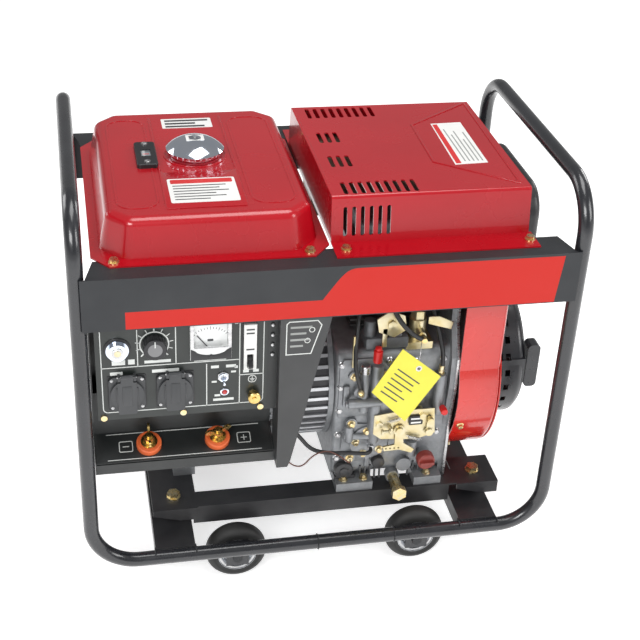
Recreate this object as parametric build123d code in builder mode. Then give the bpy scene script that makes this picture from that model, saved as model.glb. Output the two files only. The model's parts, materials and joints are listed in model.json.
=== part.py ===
from build123d import *
import os
from math import atan2, degrees, hypot, radians, sin, cos, tan

os.makedirs("parts", exist_ok=True)

# ---------------------------------------------------------------- driving dimensions, mm
# +X is the recoil starter end, +Y the back, +Z up; the origin is on the floor under the middle.

# tubular frame
FRAME_LENGTH = 717.0      # outside the two end hoops
FRAME_WIDTH = 476.0       # outside the uprights, front to back
FRAME_HEIGHT = 656.5      # floor to the top of the hoops
TUBE_R = 11.0
TUBE_WALL = 1.8
BEND_R = 68.0             # centre line radius of the tube bends
SEAM_X = -8.0             # where the two halves of the frame are welded together

# wheels
WHEEL_R = 47.0
TYRE_W = 30.0
RIM_R = 29.0
HUB_R = 11.0
AXLE_R = 5.0
AXLE_RUN = 0.05           # radial running clearance of a wheel on its axle
WHEEL_SIDE_GAP = 1.5
WHEEL_X = (-130.0, 154.0)
BRACKET_W = 35.0
BRACKET_T = 3.0
BRACKET_BITE = 1.5        # how far a bracket plate is let in round the tube
BRACKET_DROP = 16.0       # bracket below the axle centre
RAIL_ABOVE_AXLE = 24.5

# top beams
BEAM_TOP = 560.5
BEAM_H = 78.0
BEAM_T = 2.0
BEAM_FLANGE = 51.0
BEAM_END_GAP = 15.5       # from the end of the frame to the end of a beam
BEAM_LIP = 12.0

# cross members, bed and anti-vibration mounts
CROSS_X = (-225.0, 248.0)
CROSS_W = 60.0
CROSS_T = 3.0
CROSS_H = 22.0
BED_TOP = 116.0
BED_T = 3.0
BED_RAIL_Y = 172.0        # outer face of a bed rail
BED_RAIL_W = 36.0
BED_RAIL_H = 32.0
MOUNT_X = (-220.0, 260.0)
MOUNT_Y = 142.0
MOUNT_R = 17.0
MOUNT_PLATE_X = 34.0      # half width of a mount plate along the length
MOUNT_BOLT_R = 5.0
BOLT_HOLE_GAP = 0.5
HEX_M10 = 8.5             # half the width across flats
HEX_M6 = 5.0
HEX_AXLE = 7.0

# engine and alternator line
AXIS_Y = -22.0
AXIS_Z = 278.0
CASE_X = (25.0, 200.0)
CASE_Y = (-147.0, 103.0)
CASE_TOP = 360.0
CASE_WALL = 9.0
JOURNAL_R = 20.0
JOURNAL_RUN = 0.05
FLANGE_T = 7.0
BACK_PLATE_T = 4.0
SHROUD_R = 154.0
SHROUD_T = 2.5
SHROUD_END_X = 276.0
SHROUD_HOLE_R = 96.0
DUCT_TOP = 452.0
FLYWHEEL_R = 138.0
FLYWHEEL_X = (222.0, 256.0)
CRANK_NOSE_X = 268.0
STATOR_R = 112.0
STATOR_BORE_R = 78.0
AIR_GAP = 0.8
STATOR_X = (-205.0, -62.0)
END_BELL_X = -240.0
ADAPTER_R = 118.0
SHAFT_R = 15.0
RECOIL_R = 110.0
RECOIL_T = 2.5
RECOIL_END_X = 331.0
PULLEY_R = 45.0
PULLEY_X = (290.0, 306.0)
POST_R = 9.0

# cylinder and head
BARREL_X = 118.0
BARREL_Y = -22.0
BARREL_R = 46.0
FIN_SIDE = 128.0
FIN_T = 2.6
FIN_PITCH = 9.5
HEAD_BOTTOM = 456.0
HEAD_TOP = 500.0
ROCKER_TOP = 533.0

# tank
TANK_X = (-326.0, -3.0)
TANK_EDGE = 28.0          # from the outside of a beam to the edge of the tank flange
TANK_CORNER = (24.0, 30.0)
TANK_T = 2.0
TANK_BODY_INSET = (12.0, 17.0)
TANK_BODY_CORNER = 34.0
TANK_CORNER_R = 28.0
TANK_RIM_R = 13.0
TANK_LOW_R = 8.0
TANK_STEP = 6.0           # lower half inside the upper half, all round
TANK_TOP = 616.0
TANK_BOTTOM = 502.0
TANK_DRAFT = 12.0
FILLER = (-165.0, 16.0)
NECK_R = 27.0
NECK_H = 5.0
CAP_R = 42.0
CAP_H = 26.0
CAP_GAP = 0.4
CAP_FLUTES = 30
GAUGE_POS = (-236.0, 14.0)
GAUGE_SIZE = (30.0, 80.0, 7.0)

# silencer cover
COVER_X = (0.0, 285.0)
COVER_Y = (-167.0, 153.0)
COVER_TOP = 628.5
COVER_T = 2.0
COVER_LEAN = 10.0         # front and back walls lean outwards to the flanges
COVER_FLANGE_EDGE = 21.0  # from the outside of a beam to the edge of the cover flange
VENT_W = 6.5
VENT_L = 38.0
VENT_PITCH = 12.4
VENT_ROWS = ((9, 123.0), (3, 30.0), (3, -55.0), (9, -143.0))   # slots in a row, and its y
FRONT_VENT_PITCH = 12.3
COVER_BOLT_Y_IN = 43.0    # from the outside of a beam to the row of cover and tank bolts

# control panel and its box
PANEL_FROM_HOOP = 8.5     # from the inside of the upright to the left edge of the panel
PANEL_W = 236.0
PANEL_BOTTOM = 326.0
PANEL_UNDER_BEAM = 15.5   # panel runs up behind the beam to this far below its top
PANEL_SETBACK = 17.0      # panel face behind the inner face of the beam
SHEET = 2.0
BOX_DEPTH = 80.0
BOX_BOTTOM = 230.0
BOX_TOP = 495.0
BOX_SIDE_GAP = 0.5
BOX_STRIP = 14.0          # strip of the box to the right of the control panel
TERMINAL_TILT_Y = 46.0
TERMINAL_TILT_Z = 19.5
TERMINAL_LIP = 19.0
POST_SPACING = 99.0
INSULATOR_R = 18.0
INSULATOR_H = 10.0
STUD_R = 4.0
THREAD_RUN = 0.06         # radial clearance of a nut on its stud

# ---------------------------------------------------------------- worked out from the above
HOOP_X = FRAME_LENGTH / 2 - TUBE_R
HOOP_Y = FRAME_WIDTH / 2 - TUBE_R
AXLE_Z = WHEEL_R
RAIL_Z = AXLE_Z + RAIL_ABOVE_AXLE
HOOP_TOP_Z = FRAME_HEIGHT - TUBE_R
RAIL_TOP = RAIL_Z + TUBE_R
BEAM_IN = FRAME_WIDTH / 2
BEAM_OUT = BEAM_IN + BEAM_T
BEAM_BOTTOM = BEAM_TOP - BEAM_H
CASE_FLANGE_X = CASE_X[1] + FLANGE_T
PLATE_X = CASE_FLANGE_X + BACK_PLATE_T
PANEL_X0 = -HOOP_X + TUBE_R + PANEL_FROM_HOOP
PANEL_X1 = PANEL_X0 + PANEL_W
PANEL_Y = -(BEAM_IN - PANEL_SETBACK)      # front face of the control panel
BOX_X0 = -HOOP_X + TUBE_R + BOX_SIDE_GAP
BOX_X1 = PANEL_X1 + BOX_STRIP
BOX_BACK = PANEL_Y + BOX_DEPTH
TANK_HALF_Y = BEAM_OUT - TANK_EDGE - 2.0
BOLT_ROW_Y = BEAM_OUT - COVER_BOLT_Y_IN
MID = (AXIS_Y, AXIS_Z)


# ---------------------------------------------------------------- shared shapes
def span(a, b):
    return (a + b) / 2


def block(x, y, z, mode=Mode.ADD):
    """A rectangular block between pairs of x, y and z values."""
    with Locations((span(*x), span(*y), span(*z))):
        Box(x[1] - x[0], y[1] - y[0], z[1] - z[0], mode=mode)


def turned_x(x, radius, yz, mode=Mode.ADD):
    """A cylinder along X between two x values, about the line y, z."""
    with Locations(Location((span(*x), yz[0], yz[1]), (0, 90, 0))):
        Cylinder(radius, x[1] - x[0], mode=mode)


def turned_y(y, radius, xz, mode=Mode.ADD):
    """A cylinder along Y between two y values, about the line x, z."""
    with Locations(Location((xz[0], span(*y), xz[1]), (90, 0, 0))):
        Cylinder(radius, y[1] - y[0], mode=mode)


def turned_z(z, radius, xy, mode=Mode.ADD):
    """A cylinder along Z between two z values, about the line x, y."""
    with Locations((xy[0], xy[1], span(*z))):
        Cylinder(radius, z[1] - z[0], mode=mode)


def plate_yz(x, points, mode=Mode.ADD):
    """A plate between two x values with a corner at each (y, z) point."""
    plane = Plane(origin=(x[0], 0, 0), x_dir=(0, 1, 0), z_dir=(1, 0, 0))
    with BuildSketch(plane) as outline:
        with BuildLine():
            Polyline(*points, close=True)
        make_face()
    extrude(outline.sketch, amount=x[1] - x[0], mode=mode)


def plate_xz(y, points, mode=Mode.ADD):
    """A plate between two y values with a corner at each (x, z) point."""
    plane = Plane(origin=(0, y[0], 0), x_dir=(1, 0, 0), z_dir=(0, -1, 0))
    with BuildSketch(plane) as outline:
        with BuildLine():
            Polyline(*points, close=True)
        make_face()
    extrude(outline.sketch, amount=-(y[1] - y[0]), mode=mode)


def plate_xy(z, points, mode=Mode.ADD):
    """A plate between two z values with a corner at each (x, y) point."""
    with BuildSketch(Plane.XY.offset(z[0])) as outline:
        with BuildLine():
            Polyline(*points, close=True)
        make_face()
    extrude(outline.sketch, amount=z[1] - z[0], mode=mode)


def hex_on(plane, across, height, mode=Mode.ADD):
    """A hexagonal head or nut that stands on a plane."""
    with BuildSketch(plane) as outline:
        RegularPolygon(across, 6, major_radius=False)
    extrude(outline.sketch, amount=height, mode=mode)


def round_on(plane, radius, height, mode=Mode.ADD):
    """A round disc or rod that stands on a plane."""
    with BuildSketch(plane) as outline:
        Circle(radius)
    extrude(outline.sketch, amount=height, mode=mode)


def facing(x, y, z, direction):
    """A plane at a point whose normal is a direction."""
    return Plane(origin=(x, y, z), z_dir=direction)


def spun(plane, angle):
    """The same plane with its x direction turned about its normal."""
    a = radians(angle)
    return Plane(origin=plane.origin, x_dir=plane.x_dir * cos(a) + plane.y_dir * sin(a), z_dir=plane.z_dir)


def save(part, label):
    part.label = label
    export_step(part, f"parts/{label}.step")


def mirror_y_pair(maker):
    """A piece and its mirror image at the back of the machine, in one node."""
    with BuildPart() as pair:
        maker()
        mirror(about=Plane.XZ)
    return pair.part


# ---------------------------------------------------------------- frame
def frame_hoops():
    """Two bent tubes, each an end hoop with its half of the bottom rails, butt welded at the seam."""
    with BuildPart() as hoops:
        for end in (-1, 1):
            x = end * HOOP_X
            corners = [
                (SEAM_X, -HOOP_Y, RAIL_Z), (x, -HOOP_Y, RAIL_Z), (x, -HOOP_Y, HOOP_TOP_Z),
                (x, HOOP_Y, HOOP_TOP_Z), (x, HOOP_Y, RAIL_Z), (SEAM_X, HOOP_Y, RAIL_Z),
            ]
            with BuildLine() as centre:
                FilletPolyline(*corners, radius=BEND_R)
            start = Plane(origin=corners[0], z_dir=(end, 0, 0))
            with BuildSketch(start) as section:
                Circle(TUBE_R)
                Circle(TUBE_R - TUBE_WALL, mode=Mode.SUBTRACT)
            sweep(section.sketch, path=centre.line)
    save(hoops.part, "frame_hoops")


def one_beam():
    half = FRAME_LENGTH / 2 - BEAM_END_GAP
    neck = HOOP_X - TUBE_R - BOX_SIDE_GAP
    inner = BEAM_OUT - BEAM_FLANGE
    block((-half, half), (-BEAM_OUT, -BEAM_IN), (BEAM_BOTTOM, BEAM_TOP))
    corners = [(-neck, -BEAM_IN), (neck, -BEAM_IN), (neck - BEAM_LIP, -inner), (-neck + BEAM_LIP, -inner)]
    plate_xy((BEAM_TOP - BEAM_T, BEAM_TOP), corners)
    lip = neck - BEAM_LIP
    block((-lip, lip), (-inner - BEAM_T, -inner), (BEAM_TOP - BEAM_LIP, BEAM_TOP - BEAM_T))
    for x in COVER_BOLT_XS:
        turned_z((BEAM_TOP - BEAM_T, BEAM_TOP), BOLT6_R + BOLT_HOLE_GAP / 2, (x, -BOLT_ROW_Y), Mode.SUBTRACT)


BOLT6_R = 3.0
COVER_BOLT_XS = (TANK_X[0] + 30.0, TANK_X[1] - 30.0, COVER_X[0] + 17.0, COVER_X[1] - 5.0)


def top_beams():
    """Folded steel beams across the front and back that carry the tank and the silencer cover."""
    save(mirror_y_pair(one_beam), "top_beams")


def cross_members():
    """Two folded channels that lie on the bottom rails."""
    with BuildPart() as cross:
        for x, bolt_x in zip(CROSS_X, MOUNT_X):
            left, right = x - CROSS_W / 2, x + CROSS_W / 2
            block((left, right), (-HOOP_Y + 3, HOOP_Y - 3), (RAIL_TOP, RAIL_TOP + CROSS_T))
            inside = HOOP_Y - TUBE_R - 1
            for edge in (left, right - CROSS_T):
                block((edge, edge + CROSS_T), (-inside, inside), (RAIL_TOP - CROSS_H, RAIL_TOP))
            for y in (-MOUNT_Y, MOUNT_Y):
                turned_z((RAIL_TOP, RAIL_TOP + CROSS_T), MOUNT_BOLT_R + BOLT_HOLE_GAP, (bolt_x, y), Mode.SUBTRACT)
    save(cross.part, "cross_members")


def engine_bed():
    """Welded bed: two long channels, four mount plates and a tie plate under the alternator."""
    web_in = BED_RAIL_Y - BED_T
    with BuildPart() as bed:
        for side in (-1, 1):
            ys = sorted((side * BED_RAIL_Y, side * (BED_RAIL_Y - BED_RAIL_W)))
            web = sorted((side * BED_RAIL_Y, side * web_in))
            x0, x1 = MOUNT_X[0] + MOUNT_PLATE_X, MOUNT_X[1] - MOUNT_PLATE_X
            web_end = CROSS_X[1] - CROSS_W / 2 - 4
            block((x0, x1), ys, (BED_TOP - BED_T, BED_TOP))
            block((x0 - 6, web_end), web, (BED_TOP - BED_RAIL_H, BED_TOP))
            plate_y = sorted((side * (BED_RAIL_Y + 3), side * (MOUNT_Y - MOUNT_R - 18)))
            lip_y = sorted((side * (BED_RAIL_Y + 3), side * BED_RAIL_Y))
            for x in MOUNT_X:
                block((x - MOUNT_PLATE_X, x + MOUNT_PLATE_X), plate_y, (BED_TOP - BED_T, BED_TOP))
                lip = [(x - MOUNT_PLATE_X, BED_TOP), (x + MOUNT_PLATE_X, BED_TOP),
                       (x + MOUNT_PLATE_X, BED_TOP - 22), (x + 8, BED_TOP - 22), (x - MOUNT_PLATE_X, BED_TOP - 10)]
                plate_xz(lip_y, lip)
        tie = MOUNT_Y - MOUNT_R - 18
        x0 = MOUNT_X[0]
        block((x0 - MOUNT_PLATE_X, x0 + MOUNT_PLATE_X), (-tie, tie), (BED_TOP - BED_T, BED_TOP))
        for x in MOUNT_X:
            for y in (-MOUNT_Y, MOUNT_Y):
                turned_z((BED_TOP - BED_T, BED_TOP), MOUNT_BOLT_R + BOLT_HOLE_GAP, (x, y), Mode.SUBTRACT)
    save(bed.part, "engine_bed")


def rubber_mounts():
    """Waisted rubber blocks between the cross members and the bed."""
    low, high = RAIL_TOP + CROSS_T, BED_TOP - BED_T
    waist = MOUNT_R - 4
    with BuildPart() as mounts:
        for x in MOUNT_X:
            for y in (-MOUNT_Y, MOUNT_Y):
                turned_z((low, low + 6), MOUNT_R, (x, y))
                turned_z((low + 6, high - 6), waist, (x, y))
                turned_z((high - 6, high), MOUNT_R, (x, y))
                turned_z((low, high), MOUNT_BOLT_R + BOLT_HOLE_GAP, (x, y), Mode.SUBTRACT)
    save(mounts.part, "rubber_mounts")


def frame_bolts():
    """The mount bolts with their nuts, and the wheel axle bolts with theirs."""
    with BuildPart() as bolts:
        for x in MOUNT_X:
            for y in (-MOUNT_Y, MOUNT_Y):
                low = RAIL_TOP - 10
                turned_z((low, BED_TOP + 8), MOUNT_BOLT_R, (x, y))
                round_on(facing(x, y, BED_TOP, (0, 0, 1)), MOUNT_BOLT_R + 6, 1.6)
                hex_on(facing(x, y, BED_TOP + 1.6, (0, 0, 1)), HEX_M10, 6.4)
                hex_on(facing(x, y, RAIL_TOP, (0, 0, -1)), HEX_M10, 8)
        for x in WHEEL_X:
            for side in (-1, 1):
                outer, _ = bracket_faces(side)
                nut = wheel_mid(side) - side * (TYRE_W / 2 + WHEEL_SIDE_GAP)
                turned_y(sorted((outer, nut - side * 8)), AXLE_R, (x, AXLE_Z))
                hex_on(facing(x, outer, AXLE_Z, (0, side, 0)), HEX_AXLE, 4.5)
                hex_on(facing(x, nut, AXLE_Z, (0, -side, 0)), HEX_AXLE, 6)
    save(bolts.part, "frame_bolts")


def bracket_faces(side):
    """The faces of a bracket plate towards the tube and towards the wheel."""
    wheel_face = side * (HOOP_Y - TUBE_R - BRACKET_T)
    return wheel_face + side * (BRACKET_T + BRACKET_BITE), wheel_face


def wheel_mid(side):
    return side * (HOOP_Y - TUBE_R - BRACKET_T - WHEEL_SIDE_GAP - TYRE_W / 2)


def wheel_brackets():
    """Plates welded to the inside of the bottom rails, one beside each wheel."""
    with BuildPart() as brackets:
        for x in WHEEL_X:
            for side in (-1, 1):
                xs = (x - BRACKET_W / 2, x + BRACKET_W / 2)
                ys = sorted(bracket_faces(side))
                block(xs, ys, (AXLE_Z - BRACKET_DROP, RAIL_Z + 5))
                turned_x(xs, TUBE_R, (side * HOOP_Y, RAIL_Z), Mode.SUBTRACT)
                turned_y(ys, AXLE_R, (x, AXLE_Z), Mode.SUBTRACT)
    save(brackets.part, "wheel_brackets")


def wheel(x, side, label):
    """A solid rubber tyre on a pressed rim with its hub."""
    mid = wheel_mid(side)
    half = TYRE_W / 2
    with BuildPart() as tyre:
        turned_y((mid - half, mid + half), WHEEL_R, (x, AXLE_Z))
        fillet(tyre.edges().filter_by(GeomType.CIRCLE), half - 2)
        turned_y((mid - half, mid + half), RIM_R, (x, AXLE_Z), Mode.SUBTRACT)
    with BuildPart() as rim:
        turned_y((mid - half + 3, mid + half - 3), RIM_R, (x, AXLE_Z))
        turned_y((mid - half + 3, mid - 4), RIM_R - 3, (x, AXLE_Z), Mode.SUBTRACT)
        turned_y((mid + 4, mid + half - 3), RIM_R - 3, (x, AXLE_Z), Mode.SUBTRACT)
        turned_y((mid - half, mid + half), HUB_R, (x, AXLE_Z))
        turned_y((mid - half, mid + half), AXLE_R + AXLE_RUN, (x, AXLE_Z), Mode.SUBTRACT)
    save(Compound(label=label, children=[tyre.part, rim.part]), label)


# ---------------------------------------------------------------- tank, cap and gauge
def chamfered(x, half_y, cut_x, cut_y):
    """Corners of a rectangle with cut-off corners, symmetrical front to back."""
    x0, x1 = x
    return [
        (x0, -half_y + cut_y), (x0 + cut_x, -half_y), (x1 - cut_x, -half_y), (x1, -half_y + cut_y),
        (x1, half_y - cut_y), (x1 - cut_x, half_y), (x0 + cut_x, half_y), (x0, half_y - cut_y),
    ]


def tank_half(z_from, z_to, grow, round_r):
    """One pressed half of the tank as a solid: drafted walls and a rounded rim."""
    x = (TANK_X[0] + TANK_BODY_INSET[0] - grow, TANK_X[1] - TANK_BODY_INSET[0] + grow)
    half_y = TANK_HALF_Y - TANK_BODY_INSET[1] + grow
    height = z_to - z_from
    with BuildPart() as half:
        with BuildSketch(Plane.XY.offset(z_from)) as outline:
            with BuildLine():
                Polyline(*chamfered(x, half_y, TANK_BODY_CORNER, TANK_BODY_CORNER), close=True)
            make_face()
            fillet(outline.vertices(), TANK_CORNER_R + grow)
        extrude(amount=height, taper=degrees(atan2(TANK_DRAFT, abs(height))))
        ends = half.faces().sort_by(Axis.Z)
        rim = ends[-1] if height > 0 else ends[0]
        fillet(rim.edges(), round_r)
    return half.part


def fuel_tank():
    """Two pressed halves joined at a flange that rests on the top beams, with a filler neck."""
    seam = BEAM_TOP
    outside_top = tank_half(seam, TANK_TOP, 0.0, TANK_RIM_R)
    outside_low = tank_half(seam, TANK_BOTTOM, -TANK_STEP, TANK_LOW_R)
    inside_top = tank_half(seam + TANK_T, TANK_TOP - TANK_T, -TANK_T, TANK_RIM_R - TANK_T)
    inside_low = tank_half(seam + TANK_T, TANK_BOTTOM + TANK_T, -TANK_STEP - TANK_T, TANK_LOW_R - TANK_T)
    with BuildPart() as tank:
        corners = chamfered(TANK_X, TANK_HALF_Y, *TANK_CORNER)
        plate_xy((seam, seam + TANK_T), corners)
        add(outside_top)
        add(outside_low)
        turned_z((TANK_TOP - TANK_T, TANK_TOP + NECK_H), NECK_R, FILLER)
        add(inside_top, mode=Mode.SUBTRACT)
        add(inside_low, mode=Mode.SUBTRACT)
        turned_z((TANK_TOP - TANK_T - 1, TANK_TOP + NECK_H), NECK_R - TANK_T, FILLER, Mode.SUBTRACT)
        for x in COVER_BOLT_XS[:2]:
            for y in (-BOLT_ROW_Y, BOLT_ROW_Y):
                turned_z((seam, seam + TANK_T), BOLT6_R + BOLT_HOLE_GAP / 2, (x, y), Mode.SUBTRACT)
    save(tank.part, "fuel_tank")


def fuel_cap():
    """Bayonet cap: a domed top over a knurled skirt, and the gasket plate inside it."""
    x, y = FILLER
    base = TANK_TOP + CAP_GAP
    top = base + CAP_H
    plane = Plane(origin=(x, y, 0), x_dir=(1, 0, 0), z_dir=(0, -1, 0))
    seat = TANK_TOP + NECK_H
    with BuildPart() as cap:
        with BuildSketch(plane):
            with BuildLine():
                Polyline((0, seat + 5), (NECK_R + 6, seat + 5), (NECK_R + 6, base), (CAP_R - 3, base),
                         (CAP_R - 1, base + 9), (CAP_R, base + 11))
                ThreePointArc((CAP_R, base + 11), (CAP_R * 0.62, top - 4), (0, top))
                Line((0, top), (0, seat + 5))
            make_face()
        revolve(axis=Axis((x, y, 0), (0, 0, 1)))
        with Locations((x, y, base + 5)):
            with PolarLocations(CAP_R + 0.4, CAP_FLUTES):
                Cylinder(2.0, 12, mode=Mode.SUBTRACT)
        turned_z((seat + CAP_GAP, seat + 6), NECK_R + 3, FILLER)
        turned_z((seat - 8, seat + 1), NECK_R - TANK_T - 2, FILLER)
    save(cap.part, "fuel_cap")


def fuel_gauge():
    """Float gauge body with a window, held on the tank by two screws."""
    x, y = GAUGE_POS
    width, depth, height = GAUGE_SIZE
    with BuildPart() as gauge:
        block((x - width / 2, x + width / 2), (y - depth / 2, y + depth / 2), (TANK_TOP, TANK_TOP + height))
        fillet(gauge.edges().filter_by(Axis.Z), 5)
        fillet(gauge.faces().sort_by(Axis.Z)[-1].edges(), 2)
        block((x - 7, x + 7), (y - 11, y + 11), (TANK_TOP + height - 2, TANK_TOP + height), Mode.SUBTRACT)
    save(gauge.part, "fuel_gauge")


# ---------------------------------------------------------------- silencer, cover and air cleaner
def cover_profile(wall):
    """The end view of the cover, with its walls leaning outwards, drawn in by a wall thickness."""
    y0, y1 = COVER_Y
    return [(y0 - COVER_LEAN + wall, BEAM_TOP), (y0 + wall, COVER_TOP - wall),
            (y1 - wall, COVER_TOP - wall), (y1 + COVER_LEAN - wall, BEAM_TOP)]


def silencer_cover():
    """Folded steel cover: a flat top, leaning front and back walls, a left wall and two flanges."""
    x0, x1 = COVER_X
    y0, y1 = COVER_Y
    foot = BEAM_OUT - COVER_FLANGE_EDGE
    with BuildPart() as cover:
        plate_yz((x0, x1), cover_profile(0))
        fillet(cover.edges().filter_by(Axis.X).group_by(Axis.Z)[-1], 5)
        plate_yz((x0 + COVER_T, x1), cover_profile(COVER_T), Mode.SUBTRACT)
        for side, wall in ((-1, y0 - COVER_LEAN), (1, y1 + COVER_LEAN)):
            flange = sorted((wall - side * COVER_T, side * foot))
            block((x0, x1 + 4), flange, (BEAM_TOP, BEAM_TOP + COVER_T))
            for x in COVER_BOLT_XS[2:]:
                turned_z((BEAM_TOP, BEAM_TOP + COVER_T), BOLT6_R + BOLT_HOLE_GAP / 2,
                         (x, side * BOLT_ROW_Y), Mode.SUBTRACT)
        top_vents()
        with BuildSketch(Plane.XZ.offset(COVER_LEAN - y0)) as front:
            with Locations((x0 + 50, COVER_TOP - 37)):
                with GridLocations(FRONT_VENT_PITCH, 1, 6, 1):
                    SlotOverall(42, VENT_W - 1, rotation=90)
        extrude(front.sketch, amount=-(COVER_T + COVER_LEAN), mode=Mode.SUBTRACT)
        turned_y((y1 - 4, y1 + COVER_LEAN), PIPE_R + 4, (TAIL_X, TAIL_Z), Mode.SUBTRACT)
    save(cover.part, "silencer_cover")


def top_vents():
    """Four rows of vent slots through the top of the cover, near its left end."""
    with BuildSketch(Plane.XY.offset(COVER_TOP + 1)) as vents:
        for count, y in VENT_ROWS:
            for i in range(count):
                with Locations((COVER_X[0] + 22 + i * VENT_PITCH, y)):
                    SlotOverall(VENT_L, VENT_W, rotation=90)
    extrude(vents.sketch, amount=-(COVER_T + 2), mode=Mode.SUBTRACT)


PIPE_R = 13.0
TAIL_X = 60.0
TAIL_Z = 580.0
SILENCER_X = (22.0, 222.0)
SILENCER_Y = (74.0, 142.0)
SILENCER_Z = (470.0, 612.0)


def silencer():
    """Pressed silencer box with its inlet stub at the head and a tail pipe out of the back."""
    inlet_z = span(HEAD_BOTTOM, HEAD_TOP)
    with BuildPart() as box:
        block(SILENCER_X, SILENCER_Y, SILENCER_Z)
        fillet(box.edges().filter_by(Axis.X), 18)
        block((SILENCER_X[0] + 2, SILENCER_X[1] - 2), (SILENCER_Y[0] + 2, SILENCER_Y[1] - 2),
              (SILENCER_Z[0] + 12, SILENCER_Z[1] - 12), Mode.SUBTRACT)
        turned_y((BARREL_Y + FIN_SIDE / 2, SILENCER_Y[0] + 3), PIPE_R + 3, (BARREL_X, inlet_z))
        turned_y((BARREL_Y + FIN_SIDE / 2, SILENCER_Y[0] + 3), PIPE_R, (BARREL_X, inlet_z), Mode.SUBTRACT)
        tail = (SILENCER_Y[1] - 3, COVER_Y[1] + 34)
        turned_y(tail, PIPE_R, (TAIL_X, TAIL_Z))
        turned_y(tail, PIPE_R - 1.5, (TAIL_X, TAIL_Z), Mode.SUBTRACT)
    save(box.part, "silencer")


CLEANER_X = (250.0, 330.0)
CLEANER_Y = (-108.0, 100.0)
CLEANER_Z = (462.0, 592.0)
CLEANER_DUCT_Y = 14.0


def air_cleaner():
    """Moulded air cleaner case with its intake duct to the cylinder head."""
    duct = (CLEANER_DUCT_Y, HEAD_TOP - 14)
    with BuildPart() as case:
        block(CLEANER_X, CLEANER_Y, CLEANER_Z)
        fillet(case.edges().filter_by(Axis.X), 44)
        fillet(case.faces().sort_by(Axis.X)[-1].edges(), 10)
        block((CLEANER_X[0] + 3, CLEANER_X[1] - 3), (CLEANER_Y[0] + 16, CLEANER_Y[1] - 16),
              (CLEANER_Z[0] + 16, CLEANER_Z[1] - 16), Mode.SUBTRACT)
        turned_x((BARREL_X + FIN_SIDE / 2, CLEANER_X[0] + 4), 14, duct)
        turned_x((BARREL_X + FIN_SIDE / 2, CLEANER_X[0] + 4), 11, duct, Mode.SUBTRACT)
    save(case.part, "air_cleaner")


def cover_bolts():
    """Flanged bolts of the tank and the cover, and the three of the control panel."""
    with BuildPart() as bolts:
        for x in COVER_BOLT_XS:
            for y in (-BOLT_ROW_Y, BOLT_ROW_Y):
                z = BEAM_TOP + TANK_T
                turned_z((BEAM_TOP - 9, z + 5), BOLT6_R, (x, y))
                round_on(facing(x, y, z, (0, 0, 1)), 7.5, 1.5)
                hex_on(facing(x, y, z + 1.5, (0, 0, 1)), HEX_M6, 4.5)
        for x in PANEL_BOLT_XS:
            z = PANEL_BOTTOM + 4.5
            turned_y((PANEL_Y, PANEL_Y + SHEET + 5), 2.0, (x, z))
            round_on(facing(x, PANEL_Y, z, (0, -1, 0)), 4.5, 2.5)
    save(bolts.part, "cover_bolts")


# ---------------------------------------------------------------- control panel
PANEL_BOLT_XS = (PANEL_X0 + 8.0, PANEL_X0 + 118.0, PANEL_X0 + 227.0)
KEY = (PANEL_X0 + 30.0, 441.0)
KNOB = (PANEL_X0 + 80.0, 446.0)
METER_X = (PANEL_X0 + 128.0, PANEL_X0 + 185.0)
METER_Z = (419.0, 481.0)
BREAKER_X = (PANEL_X0 + 202.0, PANEL_X0 + 220.0)
BREAKER_Z = (397.0, 470.0)
SOCKETS = ((PANEL_X0 + 41.0, 371.0), (PANEL_X0 + 107.0, 371.0))
TOGGLE = (PANEL_X0 + 174.0, 386.0)
EARTH = (PANEL_X0 + 217.0, 352.0)
SOCKET_R = 22.0
SOCKET_PLATE = (50.0, 54.0)
LID_T = 5.0
HINGE_R = 2.0


def control_panel():
    """Front panel: a flat sheet with returns at its top and bottom and an opening for each device."""
    top = BEAM_TOP - PANEL_UNDER_BEAM
    back = PANEL_Y + SHEET
    through = (PANEL_Y, back)
    with BuildPart() as panel:
        block((PANEL_X0, PANEL_X1), through, (PANEL_BOTTOM, top))
        block((PANEL_X0 + 14, PANEL_X1), (-BEAM_IN, back), (top - SHEET, top))
        turned_y(through, 11.0, KEY, Mode.SUBTRACT)
        turned_y(through, 5.0, KNOB, Mode.SUBTRACT)
        block((METER_X[0] + 3, METER_X[1] - 3), through, (METER_Z[0] + 3, METER_Z[1] - 3), Mode.SUBTRACT)
        block(BREAKER_X, through, BREAKER_Z, Mode.SUBTRACT)
        for centre in SOCKETS:
            turned_y(through, SOCKET_R - 1, centre, Mode.SUBTRACT)
        turned_y(through, 6.0, TOGGLE, Mode.SUBTRACT)
        turned_y(through, 4.0, EARTH, Mode.SUBTRACT)
        for x in PANEL_BOLT_XS:
            turned_y(through, 2.1, (x, PANEL_BOTTOM + 4.5), Mode.SUBTRACT)
    save(panel.part, "control_panel")


TILT_FRONT = (PANEL_Y + SHEET, BOX_BOTTOM + TERMINAL_LIP)
TILT_BACK = (TILT_FRONT[0] + TERMINAL_TILT_Y, TILT_FRONT[1] + TERMINAL_TILT_Z)
TILT_LENGTH = hypot(TERMINAL_TILT_Y, TERMINAL_TILT_Z)
NORMAL = (0.0, -TERMINAL_TILT_Z / TILT_LENGTH, TERMINAL_TILT_Y / TILT_LENGTH)
POSTS = ((PANEL_X0 + 70.0, "minus"), (PANEL_X0 + 70.0 + POST_SPACING, "plus"))


def on_tilt(x, along, out):
    """A plane on the sloping terminal panel: along it from its middle, and out from its face."""
    y = span(TILT_FRONT[0], TILT_BACK[0]) - NORMAL[2] * -along + NORMAL[1] * out
    z = span(TILT_FRONT[1], TILT_BACK[1]) - NORMAL[1] * along + NORMAL[2] * out
    return Plane(origin=(x, y, z), x_dir=(1, 0, 0), z_dir=NORMAL)


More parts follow.
